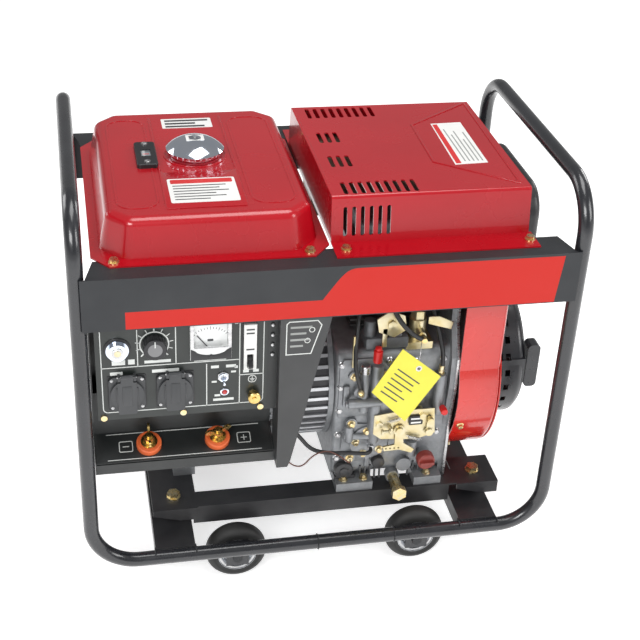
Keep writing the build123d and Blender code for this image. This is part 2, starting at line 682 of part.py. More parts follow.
def terminal_panel():
    """Bent sheet that closes the recess: a sloping face for the weld terminals and a wall above it."""
    y0, z0 = TILT_FRONT
    y1, z1 = TILT_BACK
    ny, nz = -NORMAL[1] * SHEET, -NORMAL[2] * SHEET
    wall_top = PANEL_BOTTOM + 14
    points = [(y0, z0), (y1, z1), (y1, wall_top), (y1 + SHEET, wall_top), (y1 + SHEET, z1 + nz), (y0 + ny, z0 + nz)]
    with BuildPart() as sheet:
        plate_yz((BOX_X0 + SHEET + 0.2, BOX_X1 - SHEET - 0.2), points)
        for x, _ in POSTS:
            round_on(on_tilt(x, 0, 0.5), INSULATOR_R - 8, -(SHEET + 1.5), Mode.SUBTRACT)
    save(sheet.part, "terminal_panel")


def control_box():
    """Sheet steel housing behind the panels: back, top, bottom, two sides, a lip and a strip in front."""
    back, front = BOX_BACK, PANEL_Y + SHEET
    lip_y = TILT_FRONT[0]
    side = [(lip_y, BOX_BOTTOM), (back, BOX_BOTTOM), (back, BOX_TOP), (front, BOX_TOP),
            (front, PANEL_BOTTOM - 3), (TILT_BACK[0], PANEL_BOTTOM - 3), TILT_BACK, TILT_FRONT]
    inner = (BOX_X0 + SHEET, BOX_X1 - SHEET)
    with BuildPart() as box:
        for x in (BOX_X0, BOX_X1 - SHEET):
            plate_yz((x, x + SHEET), side)
        block(inner, (back - SHEET, back), (BOX_BOTTOM, BOX_TOP))
        block(inner, (front, back - SHEET), (BOX_TOP - SHEET, BOX_TOP))
        block(inner, (lip_y, back - SHEET), (BOX_BOTTOM, BOX_BOTTOM + SHEET))
        block(inner, (lip_y, lip_y + SHEET), (BOX_BOTTOM, TILT_FRONT[1] - 3))
        strip = (PANEL_X1 - 3, BOX_X1 - SHEET)
        block(strip, (front, front + SHEET), (PANEL_BOTTOM - 3, BOX_TOP - SHEET))
        for z in STRIP_HOLES:
            turned_y((front, front + SHEET), 2.2, (PANEL_X1 + 7, z), Mode.SUBTRACT)
    save(box.part, "control_box")


STRIP_HOLES = (416.0, 432.0, 448.0, 464.0)


def side_plate():
    """Tapered plate that hangs behind the front beam, folded back along the side of the control box."""
    y = (-BEAM_IN, -BEAM_IN + SHEET)
    x0 = BOX_X1
    points = [(x0, BEAM_TOP - 20), (x0 + 84, BEAM_TOP - 20), (x0 + 34, BOX_BOTTOM + 75), (x0 + 20, BOX_BOTTOM + 10),
              (x0 + 16, BOX_BOTTOM), (x0, BOX_BOTTOM)]
    with BuildPart() as plate:
        plate_xz(y, points)
        block((x0, x0 + SHEET), (y[1], PANEL_Y + 26), (BOX_BOTTOM, BOX_TOP))
    save(plate.part, "side_plate")


def key_switch():
    """Key switch: a bezel in front of the panel and a barrel housing behind, with its key barrel."""
    with BuildPart() as body:
        turned_y((PANEL_Y - 4, PANEL_Y), 15.5, KEY)
        turned_y((PANEL_Y, PANEL_Y + 34), 10.8, KEY)
        turned_y((PANEL_Y - 10, PANEL_Y - 4), 13.0, KEY)
        turned_y((PANEL_Y - 10, PANEL_Y + 22), 8.0 + THREAD_RUN, KEY, Mode.SUBTRACT)
    save(body.part, "key_switch")
    with BuildPart() as barrel:
        turned_y((PANEL_Y - 11, PANEL_Y + 20), 8.0, KEY)
        block((KEY[0] - 1, KEY[0] + 1), (PANEL_Y - 11, PANEL_Y - 3), (KEY[1] - 5, KEY[1] + 5), Mode.SUBTRACT)
    save(barrel.part, "key_barrel")


def current_knob():
    """Ribbed weld current knob on its shaft, with a pointer groove."""
    with BuildPart() as knob:
        turned_y((PANEL_Y - 17, PANEL_Y - 1), 16.0, KNOB)
        fillet(knob.faces().sort_by(Axis.Y)[0].edges(), 2)
        for i in range(18):
            angle = radians(i * 20 + 10)
            turned_y((PANEL_Y - 14, PANEL_Y - 1), 1.2,
                     (KNOB[0] + 16.4 * cos(angle), KNOB[1] + 16.4 * sin(angle)), Mode.SUBTRACT)
        block((KNOB[0] - 1, KNOB[0] + 1), (PANEL_Y - 17.5, PANEL_Y - 16), (KNOB[1] + 4, KNOB[1] + 14), Mode.SUBTRACT)
        turned_y((PANEL_Y - 1, PANEL_Y + 16), 3.0, KNOB)
    save(knob.part, "current_knob")


def voltmeter():
    """Panel meter: a case through the panel, a bezel with an open window, and a needle on its pivot."""
    x0, x1 = METER_X
    z0, z1 = METER_Z
    pivot = (span(x0, x1), z0 + 12)
    with BuildPart() as meter:
        block((x0, x1), (PANEL_Y - 7, PANEL_Y), (z0, z1))
        fillet(meter.faces().sort_by(Axis.Y)[0].edges(), 2)
        block((x0 + 3.5, x1 - 3.5), (PANEL_Y, PANEL_Y + 30), (z0 + 3.5, z1 - 3.5))
        block((x0 + 5, x1 - 5), (PANEL_Y - 7, PANEL_Y + 4), (z0 + 19, z1 - 5), Mode.SUBTRACT)
        block((x0 + 12, x1 - 12), (PANEL_Y - 2, PANEL_Y + 4), (z0 + 6, z0 + 19), Mode.SUBTRACT)
    save(meter.part, "voltmeter")
    with BuildPart() as needle:
        turned_y((PANEL_Y - 1, PANEL_Y + 1), 3.0, pivot)
        block((pivot[0] - 0.6, pivot[0] + 0.6), (PANEL_Y - 0.5, PANEL_Y + 0.5), (pivot[1], pivot[1] + 30))
    save(needle.part.rotate(Axis((pivot[0], 0, pivot[1]), (0, 1, 0)), -NEEDLE_REST), "voltmeter_needle")


NEEDLE_REST = 38.0


def circuit_breaker():
    """Two-pole width miniature breaker through the panel, and its rocking lever."""
    x0, x1 = BREAKER_X
    z0, z1 = BREAKER_Z
    with BuildPart() as breaker:
        block((x0 + 0.2, x1 - 0.2), (PANEL_Y - 5, PANEL_Y + 46), (z0 + 0.2, z1 - 0.2))
        block((x0 + 4.5, x1 - 4.5), (PANEL_Y - 5, PANEL_Y + 12), (z0 + 3, z0 + 25), Mode.SUBTRACT)
    save(breaker.part, "circuit_breaker")
    with BuildPart() as lever:
        turned_x((x0 + 5, x1 - 5), 5.0, LEVER_PIVOT)
        block((x0 + 6, x1 - 6), (PANEL_Y - 13, PANEL_Y + 2), (LEVER_PIVOT[1] - 2.5, LEVER_PIVOT[1] + 2.5))
    turned = lever.part.rotate(Axis((0, *LEVER_PIVOT), (1, 0, 0)), 28)
    save(turned, "breaker_lever")


LEVER_PIVOT = (PANEL_Y + 3.0, BREAKER_Z[0] + 14.0)


def sockets():
    """Two earthed outlets: a faced round body with a recess, and a moulded plate around it."""
    with BuildPart() as bodies:
        for x, z in SOCKETS:
            w, h = SOCKET_PLATE
            block((x - w / 2, x + w / 2), (PANEL_Y - 4, PANEL_Y), (z - h / 2, z + h / 2))
            turned_y((PANEL_Y, PANEL_Y + 26), SOCKET_R - 1.2, (x, z))
        fillet(bodies.edges().filter_by(Axis.Y).filter_by(lambda e: e.length < 6), 8)
        for x, z in SOCKETS:
            turned_y((PANEL_Y - 4, PANEL_Y + 12), SOCKET_R - 4, (x, z), Mode.SUBTRACT)
            for dx in (-9.5, 9.5):
                turned_y((PANEL_Y + 11, PANEL_Y + 20), 2.4, (x + dx, z), Mode.SUBTRACT)
            top = z + SOCKET_PLATE[1] / 2 + 1
            for dx in (-1, 1):
                block(sorted((x + dx * 9, x + dx * 12.5)), (PANEL_Y - 10, PANEL_Y), (top - 4, top + 3))
    save(bodies.part, "sockets")


def hinge_of(socket):
    x, z = socket
    return (x, PANEL_Y - 7.0, z + SOCKET_PLATE[1] / 2 + 2)


def socket_lid(socket, label):
    """Spring flap over a socket: a round lid with a centre rib, hung from a hinge knuckle."""
    x, z = socket
    hx, hy, hz = hinge_of(socket)
    front, back = PANEL_Y - 4.3 - LID_T, PANEL_Y - 4.3
    with BuildPart() as lid:
        turned_y((front + 1.5, back), SOCKET_R + 1, (x, z))
        block((x - 13, x + 13), (front, back), (z - SOCKET_R - 9, hz - 8))
        fillet(lid.edges().filter_by(Axis.Y).group_by(Axis.Z)[0], 3)
        turned_x((x - 8.5, x + 8.5), HINGE_R + 1.2, (hy, hz))
        block((x - 8.5, x + 8.5), (front, back), (hz - 10, hz))
    save(lid.part, label)


def toggle_switch():
    """Generate or weld changeover switch: threaded collar and body, and its bat lever."""
    x, z = TOGGLE
    with BuildPart() as body:
        turned_y((PANEL_Y - 5, PANEL_Y), 6.5, TOGGLE)
        turned_y((PANEL_Y, PANEL_Y + SHEET), 5.8, TOGGLE)
        block((x - 8, x + 8), (PANEL_Y + SHEET, PANEL_Y + 26), (z - 13, z + 13))
        turned_y((PANEL_Y - 5, PANEL_Y + 9), 4.4, TOGGLE, Mode.SUBTRACT)
    save(body.part, "toggle_switch")
    with BuildPart() as lever:
        with Locations((x, PANEL_Y + 3, z)):
            Sphere(3.6)
        turned_y((PANEL_Y - TOGGLE_REACH, PANEL_Y + 1), 1.7, TOGGLE)
        with Locations((x, PANEL_Y - TOGGLE_REACH, z)):
            Sphere(2.4)
    save(lever.part.rotate(Axis((x, PANEL_Y + 3, z), (1, 0, 0)), TOGGLE_THROW), "toggle_lever")


TOGGLE_THROW = 13.0
TOGGLE_REACH = 15.0


def terminal_insulators():
    """Moulded shouldered washers that hold the weld studs clear of the sloping panel."""
    with BuildPart() as discs:
        for x, _ in POSTS:
            base = on_tilt(x, 0, 0)
            round_on(base, INSULATOR_R, INSULATOR_H)
        fillet(discs.edges().filter_by(GeomType.CIRCLE).filter_by(lambda e: e.arc_center.Z > DISC_MID_Z), 2)
        for x, _ in POSTS:
            round_on(on_tilt(x, 0, 0), INSULATOR_R - 8.3, -(SHEET + 3))
            round_on(on_tilt(x, 0, INSULATOR_H + 1), STUD_R + 0.5, -(INSULATOR_H + SHEET + 6), Mode.SUBTRACT)
    save(discs.part, "terminal_insulators")


DISC_MID_Z = on_tilt(0, 0, INSULATOR_H / 2).origin.Z


def terminal_studs():
    """Brass weld studs with a washer and a locknut, and the earth stud through the panel."""
    with BuildPart() as studs:
        for x, _ in POSTS:
            round_on(on_tilt(x, 0, -14), STUD_R, 14 + STUD_REACH)
            round_on(on_tilt(x, 0, INSULATOR_H), 12.0, 1.6)
            hex_on(on_tilt(x, 0, INSULATOR_H + 1.6), 7.5, 4.4)
        turned_y((PANEL_Y - 15, PANEL_Y + 14), 3.0, EARTH)
        hex_on(facing(EARTH[0], PANEL_Y, EARTH[1], (0, -1, 0)), 6.0, 4)
        hex_on(facing(EARTH[0], PANEL_Y + SHEET, EARTH[1], (0, 1, 0)), 6.0, 4)
    save(studs.part, "terminal_studs")


STUD_REACH = 29.0
WING_FROM = INSULATOR_H + 6.6


def wing_nuts():
    """A wing nut on each weld stud, and the knurled nut on the earth stud."""
    for x, name in POSTS:
        lean = 16 if name == "plus" else 90
        seat = spun(on_tilt(x, 0, WING_FROM), lean)
        with BuildPart() as nut:
            round_on(seat, 7.0, 8.0)
            for way in (-1, 1):
                with BuildSketch(Plane(seat.origin, x_dir=seat.x_dir, z_dir=-seat.y_dir).offset(-1.5)) as wing:
                    with Locations((way * 12.5, 8.5)):
                        Ellipse(8.0, 5.4, rotation=way * 38)
                extrude(wing.sketch, amount=3.0)
            round_on(seat.offset(-1), STUD_R + THREAD_RUN, 12.0, Mode.SUBTRACT)
        save(nut.part, f"wing_nut_{name}")
    with BuildPart() as earth:
        turned_y((PANEL_Y - 13, PANEL_Y - 4.4), 9.0, EARTH)
        chamfer(earth.edges().filter_by(GeomType.CIRCLE), 1)
        turned_y((PANEL_Y - 14, PANEL_Y - 4), 3.0 + THREAD_RUN, EARTH, Mode.SUBTRACT)
    save(earth.part, "earth_nut")


# ---------------------------------------------------------------- alternator
def alternator_stator():
    """Alternator body: end bell, stator band, and the louvred adapter that bolts to the crankcase."""
    left, a, b, right = END_BELL_X, STATOR_X[0], STATOR_X[1], CASE_X[0]
    with BuildPart() as body:
        turned_x((left, a), STATOR_R - 8, MID)
        turned_x((a, b), STATOR_R, MID)
        turned_x((b, right), ADAPTER_R, MID)
        fillet(body.faces().sort_by(Axis.X)[0].edges(), 20)
        turned_x((left + 8, a + 15), STATOR_R - 24, MID, Mode.SUBTRACT)
        turned_x((a + 15, b - 15), STATOR_BORE_R, MID, Mode.SUBTRACT)
        turned_x((b - 15, right), ADAPTER_R - 8, MID, Mode.SUBTRACT)
        turned_x((left, left + 8), SHAFT_R + JOURNAL_RUN, MID, Mode.SUBTRACT)
        slot = (b + 14, right - 16)
        for i in range(20):
            angle = 18 * i
            with Locations(Location((span(*slot), *MID), (angle, 0, 0))):
                with Locations((0, 0, ADAPTER_R - 4)):
                    Box(slot[1] - slot[0], 9.0, 16, mode=Mode.SUBTRACT)
        for side in (-1, 1):
            ys = sorted((AXIS_Y + side * 70, AXIS_Y + side * 38))
            block((STATOR_X[0] - 10, STATOR_X[0] + 24), ys, (BED_TOP, AXIS_Z - 70))
        turned_x((a + 15, b - 15), STATOR_BORE_R, MID, Mode.SUBTRACT)
        turned_x((left + 8, a + 15), STATOR_R - 24, MID, Mode.SUBTRACT)
    save(body.part, "alternator_stator")


def alternator_rotor():
    """Rotor core, cooling fan and slip rings on a shaft that the crankshaft drives."""
    with BuildPart() as rotor:
        turned_x((END_BELL_X - 4, CASE_X[0]), SHAFT_R, MID)
        turned_x((STATOR_X[0] + 20, STATOR_X[1] - 20), STATOR_BORE_R - AIR_GAP, MID)
        turned_x((STATOR_X[1] + 6, STATOR_X[1] + 12), ADAPTER_R - 16, MID)
        for i in range(10):
            with Locations(Location((STATOR_X[1] + 22, *MID), (36 * i, 0, 0))):
                with Locations((0, 0, ADAPTER_R - 36)):
                    Box(20, 3, 36)
        turned_x((STATOR_X[0] - 20, STATOR_X[0] - 6), SHAFT_R + 12, MID)
    save(rotor.part, "alternator_rotor")


# ---------------------------------------------------------------- engine
def crankcase():
    """Cast crankcase: a hollow block with feet, front bosses, and the flange for the fan shroud."""
    x0, x1 = CASE_X
    y0, y1 = CASE_Y
    w = CASE_WALL
    with BuildPart() as case:
        block(CASE_X, CASE_Y, (BED_TOP + 14, CASE_TOP))
        fillet(case.edges().filter_by(Axis.X), 16)
        fillet(case.faces().sort_by(Axis.X)[0].edges(), 6)
        for foot in ((x0 + 6, x0 + 64), (x1 - 44, x1)):
            block(foot, (-BED_RAIL_Y + 4, BED_RAIL_Y - 8), (BED_TOP, BED_TOP + 15))
        block((x0 + w, x1 - w), (y0 + w, y1 - w), (BED_TOP + 24, CASE_TOP - w), Mode.SUBTRACT)
        turned_x((x0 - 1, x1 + 1), JOURNAL_R + JOURNAL_RUN, MID, Mode.SUBTRACT)
        turned_z((CASE_TOP - w - 1, CASE_TOP), BARREL_R - 2, (BARREL_X, BARREL_Y), Mode.SUBTRACT)
        plate_yz((x1, CASE_FLANGE_X), flange_outline(0))
        turned_x((x1, CASE_FLANGE_X), JOURNAL_R + JOURNAL_RUN, MID, Mode.SUBTRACT)
        front_bosses(y0)
    save(case.part, "crankcase")


FLANGE_FRONT = (
    (-145, BED_TOP + 1), (-147, 215), (-159, 290), (-159, 345), (-137, 398), (-137, DUCT_TOP),
)


def flange_outline(grow):
    """The outline of the crankcase flange, its front and back edges kinked outwards."""
    g = grow
    front = [(y - g, z) for y, z in FLANGE_FRONT]
    back = [(2 * AXIS_Y - y, z) for y, z in reversed(front)]
    return front + back


BOSSES = (
    (52.0, 322.0, 9.0, 8.0), (52.0, 236.0, 9.0, 8.0), (52.0, 172.0, 9.0, 9.0), (98.0, 322.0, 8.0, 8.0),
    (100.0, 262.0, 15.0, 12.0), (160.0, 300.0, 9.0, 8.0), (176.0, 236.0, 9.0, 8.0), (140.0, 150.0, 12.0, 10.0),
)
OIL_FILLER = (171.0, 166.0)
DIP_X = 67.0
DIP_Y = -159.0
DIP_SEAT = 332.0
DRAIN = (124.0, 128.0)
BULGE = (82.0, 198.0)


def front_bosses(face):
    """Bolt bosses, ribs, the timing bulge, the oil filler neck and the dipstick tube on the front."""
    for x, z, radius, height in BOSSES:
        turned_y((face - height, face + 2), radius, (x, z))
    turned_y((face - 7, face + 2), 30, BULGE)
    turned_y((face - 16, face + 2), 11, OIL_FILLER)
    turned_y((face - 10, face + 4), 11, DRAIN)
    block((78, 84), (face - 5, face + 2), (150, 340))
    block((113.5, 119.5), (face - 5, face + 2), (180, 345))
    turned_z((DIP_SEAT - 70, DIP_SEAT), 6.5, (DIP_X, DIP_Y))
    block((DIP_X - 5, DIP_X + 5), (DIP_Y, face + 2), (DIP_SEAT - 66, DIP_SEAT - 8))
    turned_z((DIP_SEAT - 62, DIP_SEAT), 3.2, (DIP_X, DIP_Y), Mode.SUBTRACT)


def cylinder():
    """Finned barrel with its bore, the finned head and the rocker cover."""
    x, y = BARREL_X, BARREL_Y
    side = FIN_SIDE / 2
    xs, ys = (x - side, x + side), (y - side, y + side)
    with BuildPart() as barrel:
        turned_z((CASE_TOP, HEAD_BOTTOM), BARREL_R + 8, (x, y))
        z = CASE_TOP + 6
        while z + FIN_T < HEAD_BOTTOM - 2:
            block((x - side + 4, x + side - 4), (y - side + 4, y + side - 4), (z, z + FIN_T))
            z += FIN_PITCH
        turned_z((CASE_TOP, HEAD_BOTTOM), BARREL_R - 3, (x, y), Mode.SUBTRACT)
    save(barrel.part, "cylinder_barrel")
    with BuildPart() as head:
        block(xs, ys, (HEAD_BOTTOM, HEAD_TOP))
        for level in range(3):
            z = HEAD_BOTTOM + 8 + level * FIN_PITCH
            block((xs[0] - 1, xs[1] + 1), (ys[0] - 1, ys[0] + 26), (z, z + 6), Mode.SUBTRACT)
            block((xs[0] + 10, xs[1] - 10), (ys[0] + 8, ys[0] + 26), (z, z + 6))
        block((xs[0] + 16, xs[1] - 16), (ys[0] + 24, ys[1] - 14), (HEAD_TOP, ROCKER_TOP))
        fillet(head.faces().sort_by(Axis.Z)[-1].edges(), 8)
    save(head.part, "cylinder_head")


def crankshaft():
    """Crankshaft on its two journals, with the throw between two webs and the flywheel on its nose."""
    x0, x1 = CASE_X
    mid = BARREL_X
    y, z = MID
    throw = 35.0
    with BuildPart() as shaft:
        turned_x((x0, mid - 30), JOURNAL_R, MID)
        turned_x((mid + 30, CRANK_NOSE_X), JOURNAL_R, MID)
        for side in (-1, 1):
            xs = sorted((mid + side * 16, mid + side * 30))
            block(xs, (y - 26, y + 26), (z - 60, z + throw + 22))
        turned_x((mid - 16, mid + 16), 18, (y, z + throw))
    save(shaft.part, "crankshaft")
    fx0, fx1 = FLYWHEEL_X
    with BuildPart() as wheel_part:
        turned_x(FLYWHEEL_X, FLYWHEEL_R - 12, MID)
        turned_x((fx0 + 14, fx1), FLYWHEEL_R - 30, MID, Mode.SUBTRACT)
        turned_x((fx0 + 14, fx1), 34, MID)
        for i in range(16):
            with Locations(Location((span(fx1, fx1 + 8) - 6, *MID), (22.5 * i, 0, 0))):
                with Locations((0, 0, FLYWHEEL_R - 16)):
                    Box(20, 3, 32)
        turned_x((fx0 - 1, fx1 + 9), JOURNAL_R, MID, Mode.SUBTRACT)
    save(wheel_part.part, "flywheel")


def shroud_back_plate():
    """Steel plate between the crankcase flange and the fan shroud."""
    with BuildPart() as plate:
        plate_yz((CASE_FLANGE_X, PLATE_X), flange_outline(5))
        turned_x((CASE_FLANGE_X, PLATE_X), JOURNAL_R + 6, MID, Mode.SUBTRACT)
    save(plate.part, "shroud_back_plate")


def fan_shroud():
    """Pressed fan shroud: a drum round the flywheel with a duct up to the cylinder."""
    t = SHROUD_T
    start = PLATE_X
    duct_y = (AXIS_Y - SHROUD_R + 8, AXIS_Y + SHROUD_R - 8)
    with BuildPart() as shroud:
        turned_x((start, SHROUD_END_X), SHROUD_R, MID)
        block((start, SHROUD_END_X), duct_y, (AXIS_Z, DUCT_TOP))
        fillet(shroud.faces().sort_by(Axis.X)[-1].edges(), 7)
        turned_x((start, SHROUD_END_X - t), SHROUD_R - t, MID, Mode.SUBTRACT)
        block((start, SHROUD_END_X - t), (duct_y[0] + t, duct_y[1] - t), (AXIS_Z, DUCT_TOP - t), Mode.SUBTRACT)
        turned_x((SHROUD_END_X - t, SHROUD_END_X), SHROUD_HOLE_R, MID, Mode.SUBTRACT)
    save(shroud.part, "fan_shroud")


HANDLE_Y = -112.0
HANDLE_Z = 296.0
ROPE_R = 2.5
HANDLE_X = (RECOIL_END_X + 4.0, RECOIL_END_X + 24.0)


def recoil_starter():
    """Recoil starter: a ribbed housing with a slotted rim, the rope outlet, pulley and grip."""
    x0, x1 = SHROUD_END_X, RECOIL_END_X
    t = RECOIL_T
    out_y = (HANDLE_Y - 17, HANDLE_Y + 20)
    out_z = (HANDLE_Z - 18, HANDLE_Z + 18)
    with BuildPart() as housing:
        turned_x((x0, x1), RECOIL_R, MID)
        fillet(housing.faces().sort_by(Axis.X)[-1].edges(), 10)
        turned_x((x0, x1 - t), RECOIL_R - t, MID, Mode.SUBTRACT)
        block((x0 + 6, x1), out_y, out_z)
        block((x0 + 8, x1 - 3), (out_y[0] + 2, out_y[1] + 8), (out_z[0] + 2, out_z[1] - 2), Mode.SUBTRACT)
        for ring in range(2):
            for i in range(26):
                if 18 < i < 25:
                    continue
                at = Location((x0 + 14 + 13 * ring, *MID), (360 / 26 * i, 0, 0))
                with Locations(at):
                    with Locations((0, 0, RECOIL_R - 2)):
                        Box(8, 11, 12, mode=Mode.SUBTRACT)
        turned_x((PULLEY_X[0] - 2, x1 - t), POST_R, MID)
        turned_x((x1 - 6, x1 + 1), ROPE_R + 2, (HANDLE_Y, HANDLE_Z), Mode.SUBTRACT)
    save(housing.part, "recoil_starter")
    with BuildPart() as pulley:
        turned_x(PULLEY_X, PULLEY_R, MID)
        turned_x((PULLEY_X[0] + 4, PULLEY_X[1] - 4), PULLEY_R + 1, MID, Mode.SUBTRACT)
        turned_x((PULLEY_X[0] + 3.9, PULLEY_X[1] - 3.9), PULLEY_R - 9, MID)
        turned_x((PULLEY_X[0] - 1, PULLEY_X[1] + 1), POST_R + AXLE_RUN, MID, Mode.SUBTRACT)
    save(pulley.part, "recoil_pulley")
    with BuildPart() as handle:
        block(HANDLE_X, (HANDLE_Y - 11, HANDLE_Y + 11), (HANDLE_Z - 38, HANDLE_Z + 38))
        fillet(handle.edges().filter_by(Axis.Y), 7)
        turned_x((RECOIL_END_X - 3, HANDLE_X[0] + 2), ROPE_R, (HANDLE_Y, HANDLE_Z))
    save(handle.part, "recoil_handle")


def injection_pump():
    """Fuel injection pump on the crankcase shoulder, with its delivery union."""
    x = 150.0
    with BuildPart() as pump:
        block((x - 20, x + 20), (CASE_Y[0] - 2, CASE_Y[0] + 40), (CASE_TOP, CASE_TOP + 12))
        turned_z((CASE_TOP + 12, CASE_TOP + 44), 13, (x, CASE_Y[0] + 18))
        hex_on(facing(x, CASE_Y[0] + 18, CASE_TOP + 44, (0, 0, 1)), 10, 14)
        turned_z((CASE_TOP + 58, CASE_TOP + 68), 5, (x, CASE_Y[0] + 18))
        turned_y((CASE_Y[0] - 10, CASE_Y[0] + 18), 6, (x, CASE_TOP + 28))
    save(pump.part, "injection_pump")


BRACKET_FACE = CASE_Y[0] - 20.0
LEVER_PIN = (124.0, 228.0)
STOP_PIN = (171.0, 222.0)
PIN_R = 3.0


def speed_controls():
    """Zinc bracket on standoffs, the speed lever on its pin, and the stop lever on its own."""
    face = CASE_Y[0]
    y = (BRACKET_FACE, BRACKET_FACE + 2)
    plate = [(84, 256), (132, 262), (178, 262), (182, 216), (152, 206), (96, 212), (84, 222)]
    with BuildPart() as bracket:
        plate_xz(y, plate)
        for x, z in ((92.0, 240.0), (160.0, 250.0)):
            turned_y((y[1], face), 5, (x, z))
            hex_on(facing(x, y[0], z, (0, -1, 0)), 5, 4)
        for x, z in (LEVER_PIN, STOP_PIN):
            turned_y((y[0] - 8, y[1]), PIN_R, (x, z))
            turned_y((y[0] - 8, y[0] - 5.5), PIN_R + 3, (x, z))
    save(bracket.part, "speed_bracket")
    with BuildPart() as lever:
        ys = (y[0] - 4.5, y[0] - 1.5)
        x, z = LEVER_PIN
        plate_xz(ys, [(x - 6, z - 2), (x + 6, z - 2), (x + 8, z - 24), (x + 26, z - 38), (x + 22, z - 44),
                      (x + 2, z - 36), (x - 22, z - 37), (x - 24, z - 29), (x - 6, z - 26)])
        turned_y(ys, 9, (x, z))
        for i in range(4):
            turned_y(ys, 1.4, (x - 19 + 6.5 * i, z - 32.5), Mode.SUBTRACT)
        turned_y(ys, PIN_R + AXLE_RUN, (x, z), Mode.SUBTRACT)
    save(lever.part, "speed_lever")
    with BuildPart() as stop:
        x, z = STOP_PIN
        block((x - 4, x + 4), ys, (z - 3, z + 22))
        turned_y(ys, 7, (x, z))
        turned_y((ys[0] - 6, ys[1]), 5.5, (x, z + 22))
        turned_y(ys, PIN_R + AXLE_RUN, (x, z), Mode.SUBTRACT)
    save(stop.part, "stop_lever")


def oil_fittings():
    """Oil filler cap, dipstick and drain plug."""
    face = CASE_Y[0]
    x, z = OIL_FILLER
    with BuildPart() as cap:
        turned_y((face - 30, face - 16), 14, OIL_FILLER)
        fillet(cap.faces().sort_by(Axis.Y)[0].edges(), 3)
        block((x - 11, x + 11), (face - 35, face - 29), (z - 2.5, z + 2.5))
    save(cap.part, "oil_filler_cap")
    with BuildPart() as stick:
        turned_z((DIP_SEAT, DIP_SEAT + 13), 8, (DIP_X, DIP_Y))
        fillet(stick.faces().sort_by(Axis.Z)[-1].edges(), 3)
        turned_z((DIP_SEAT - 58, DIP_SEAT + 1), 1.8, (DIP_X, DIP_Y))
    save(stick.part, "dipstick")
    with BuildPart() as plug:
        turned_y((face - 44, face - 10), 8.5, DRAIN)
        hex_on(facing(DRAIN[0], face - 44, DRAIN[1], (0, -1, 0)), 10.5, 11)
    save(plug.part, "drain_plug")


# ---------------------------------------------------------------- leads and tag
LEAD_R = 3.2
WIRE_R = 1.1
FACE = CASE_Y[0]
LEAD_ROUTE = [
    (BOX_X1, -178.0, 268.0), (-58.0, -178.0, 268.0), (-34.0, -176.0, 238.0), (-14.0, -174.0, 208.0),
    (14.0, -171.0, 196.0), (48.0, -169.0, 192.0), (84.0, -175.0, 190.0), (84.0, FACE - 7, 190.0),
]
WIRE_ROUTE = [
    (BOX_X1, -190.0, 240.0), (-68.0, -190.0, 240.0), (-60.0, -191.0, 216.0), (-46.0, -190.0, 194.0),
    (-28.0, -186.0, 186.0), (-12.0, -182.0, 204.0), (12.0, -178.0, 208.0), (34.0, -175.0, 190.0),
    (52.0, -174.0, 172.0), (52.0, FACE - 9, 172.0),
]


def turn_radii(points):
    """For each inner corner, 0.45 of the shorter run over the tangent of half the turn."""
    radii = []
    for before, here, after in zip(points, points[1:], points[2:]):
        run_in = Vector(*here) - Vector(*before)
        run_out = Vector(*after) - Vector(*here)
        half_turn = radians(run_in.get_angle(run_out)) / 2
        radii.append(0.45 * min(run_in.length, run_out.length) / tan(half_turn))
    return radii


def tube(points, radius):
    """A round tube along a route of straight runs and tangent arcs."""
    radii = turn_radii(points)
    with BuildPart() as lead:
        with BuildLine() as route:
            FilletPolyline(*points, radius=radii)
        start = Plane(origin=points[0], z_dir=Vector(*points[1]) - Vector(*points[0]))
        with BuildSketch(start) as section:
            Circle(radius)
        sweep(section.sketch, path=route.line)
    length = route.wire().length
    print("radii", [round(r) for r in radii], "length", round(length), "volume ratio",
          round(lead.part.volume / (3.14159265 * radius * radius * length), 4))
    return lead.part


def leads():
    """The sleeved generator lead and the thin oil warning wire, from the control box to the engine."""
    both = Compound(label="engine_leads", children=[tube(LEAD_ROUTE, LEAD_R), tube(WIRE_ROUTE, WIRE_R)])
    save(both, "engine_leads")


TAG_HOLE = (139.0, FACE - 43.0, 353.0)
TAG_CORNERS = [(-27, 36), (35, -17), (-14, -94), (-69, -36)]   # from its hole
TAG_T = 0.8


def hang_tag():
    """Card tag that hangs from a hole near its top corner, in front of the engine."""
    x, y, z = TAG_HOLE
    ys = (y - TAG_T / 2, y + TAG_T / 2)
    with BuildPart() as tag:
        plate_xz(ys, [(x + dx, z + dz) for dx, dz in TAG_CORNERS])
        turned_y(ys, 2.5, (x, z), Mode.SUBTRACT)
    save(tag.part, "hang_tag")


frame_hoops()
top_beams()
cross_members()
engine_bed()
rubber_mounts()
frame_bolts()
wheel_brackets()
for wheel_x, end_name in zip(WHEEL_X, ("left", "right")):
    for wheel_side, side_name in ((-1, "front"), (1, "rear")):
        wheel(wheel_x, wheel_side, f"wheel_{side_name}_{end_name}")
fuel_tank()
fuel_cap()
fuel_gauge()
silencer_cover()
silencer()
air_cleaner()
cover_bolts()
control_panel()
terminal_panel()
control_box()
side_plate()
key_switch()
current_knob()
voltmeter()
circuit_breaker()
sockets()
socket_lid(SOCKETS[0], "socket_lid_left")
socket_lid(SOCKETS[1], "socket_lid_right")
toggle_switch()
terminal_insulators()
terminal_studs()
wing_nuts()
alternator_stator()
alternator_rotor()
crankcase()
cylinder()
crankshaft()
shroud_back_plate()
fan_shroud()
recoil_starter()
injection_pump()
speed_controls()
oil_fittings()
leads()
hang_tag()
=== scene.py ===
"""Engine driven welder: finishes, printed panels, fittings, light and camera round the fixed frame."""

import json
import logging
import math
from collections.abc import Callable, Iterable, Sequence
from dataclasses import dataclass, field
from enum import Enum

import bmesh
import bpy
from mathutils import Matrix, Vector

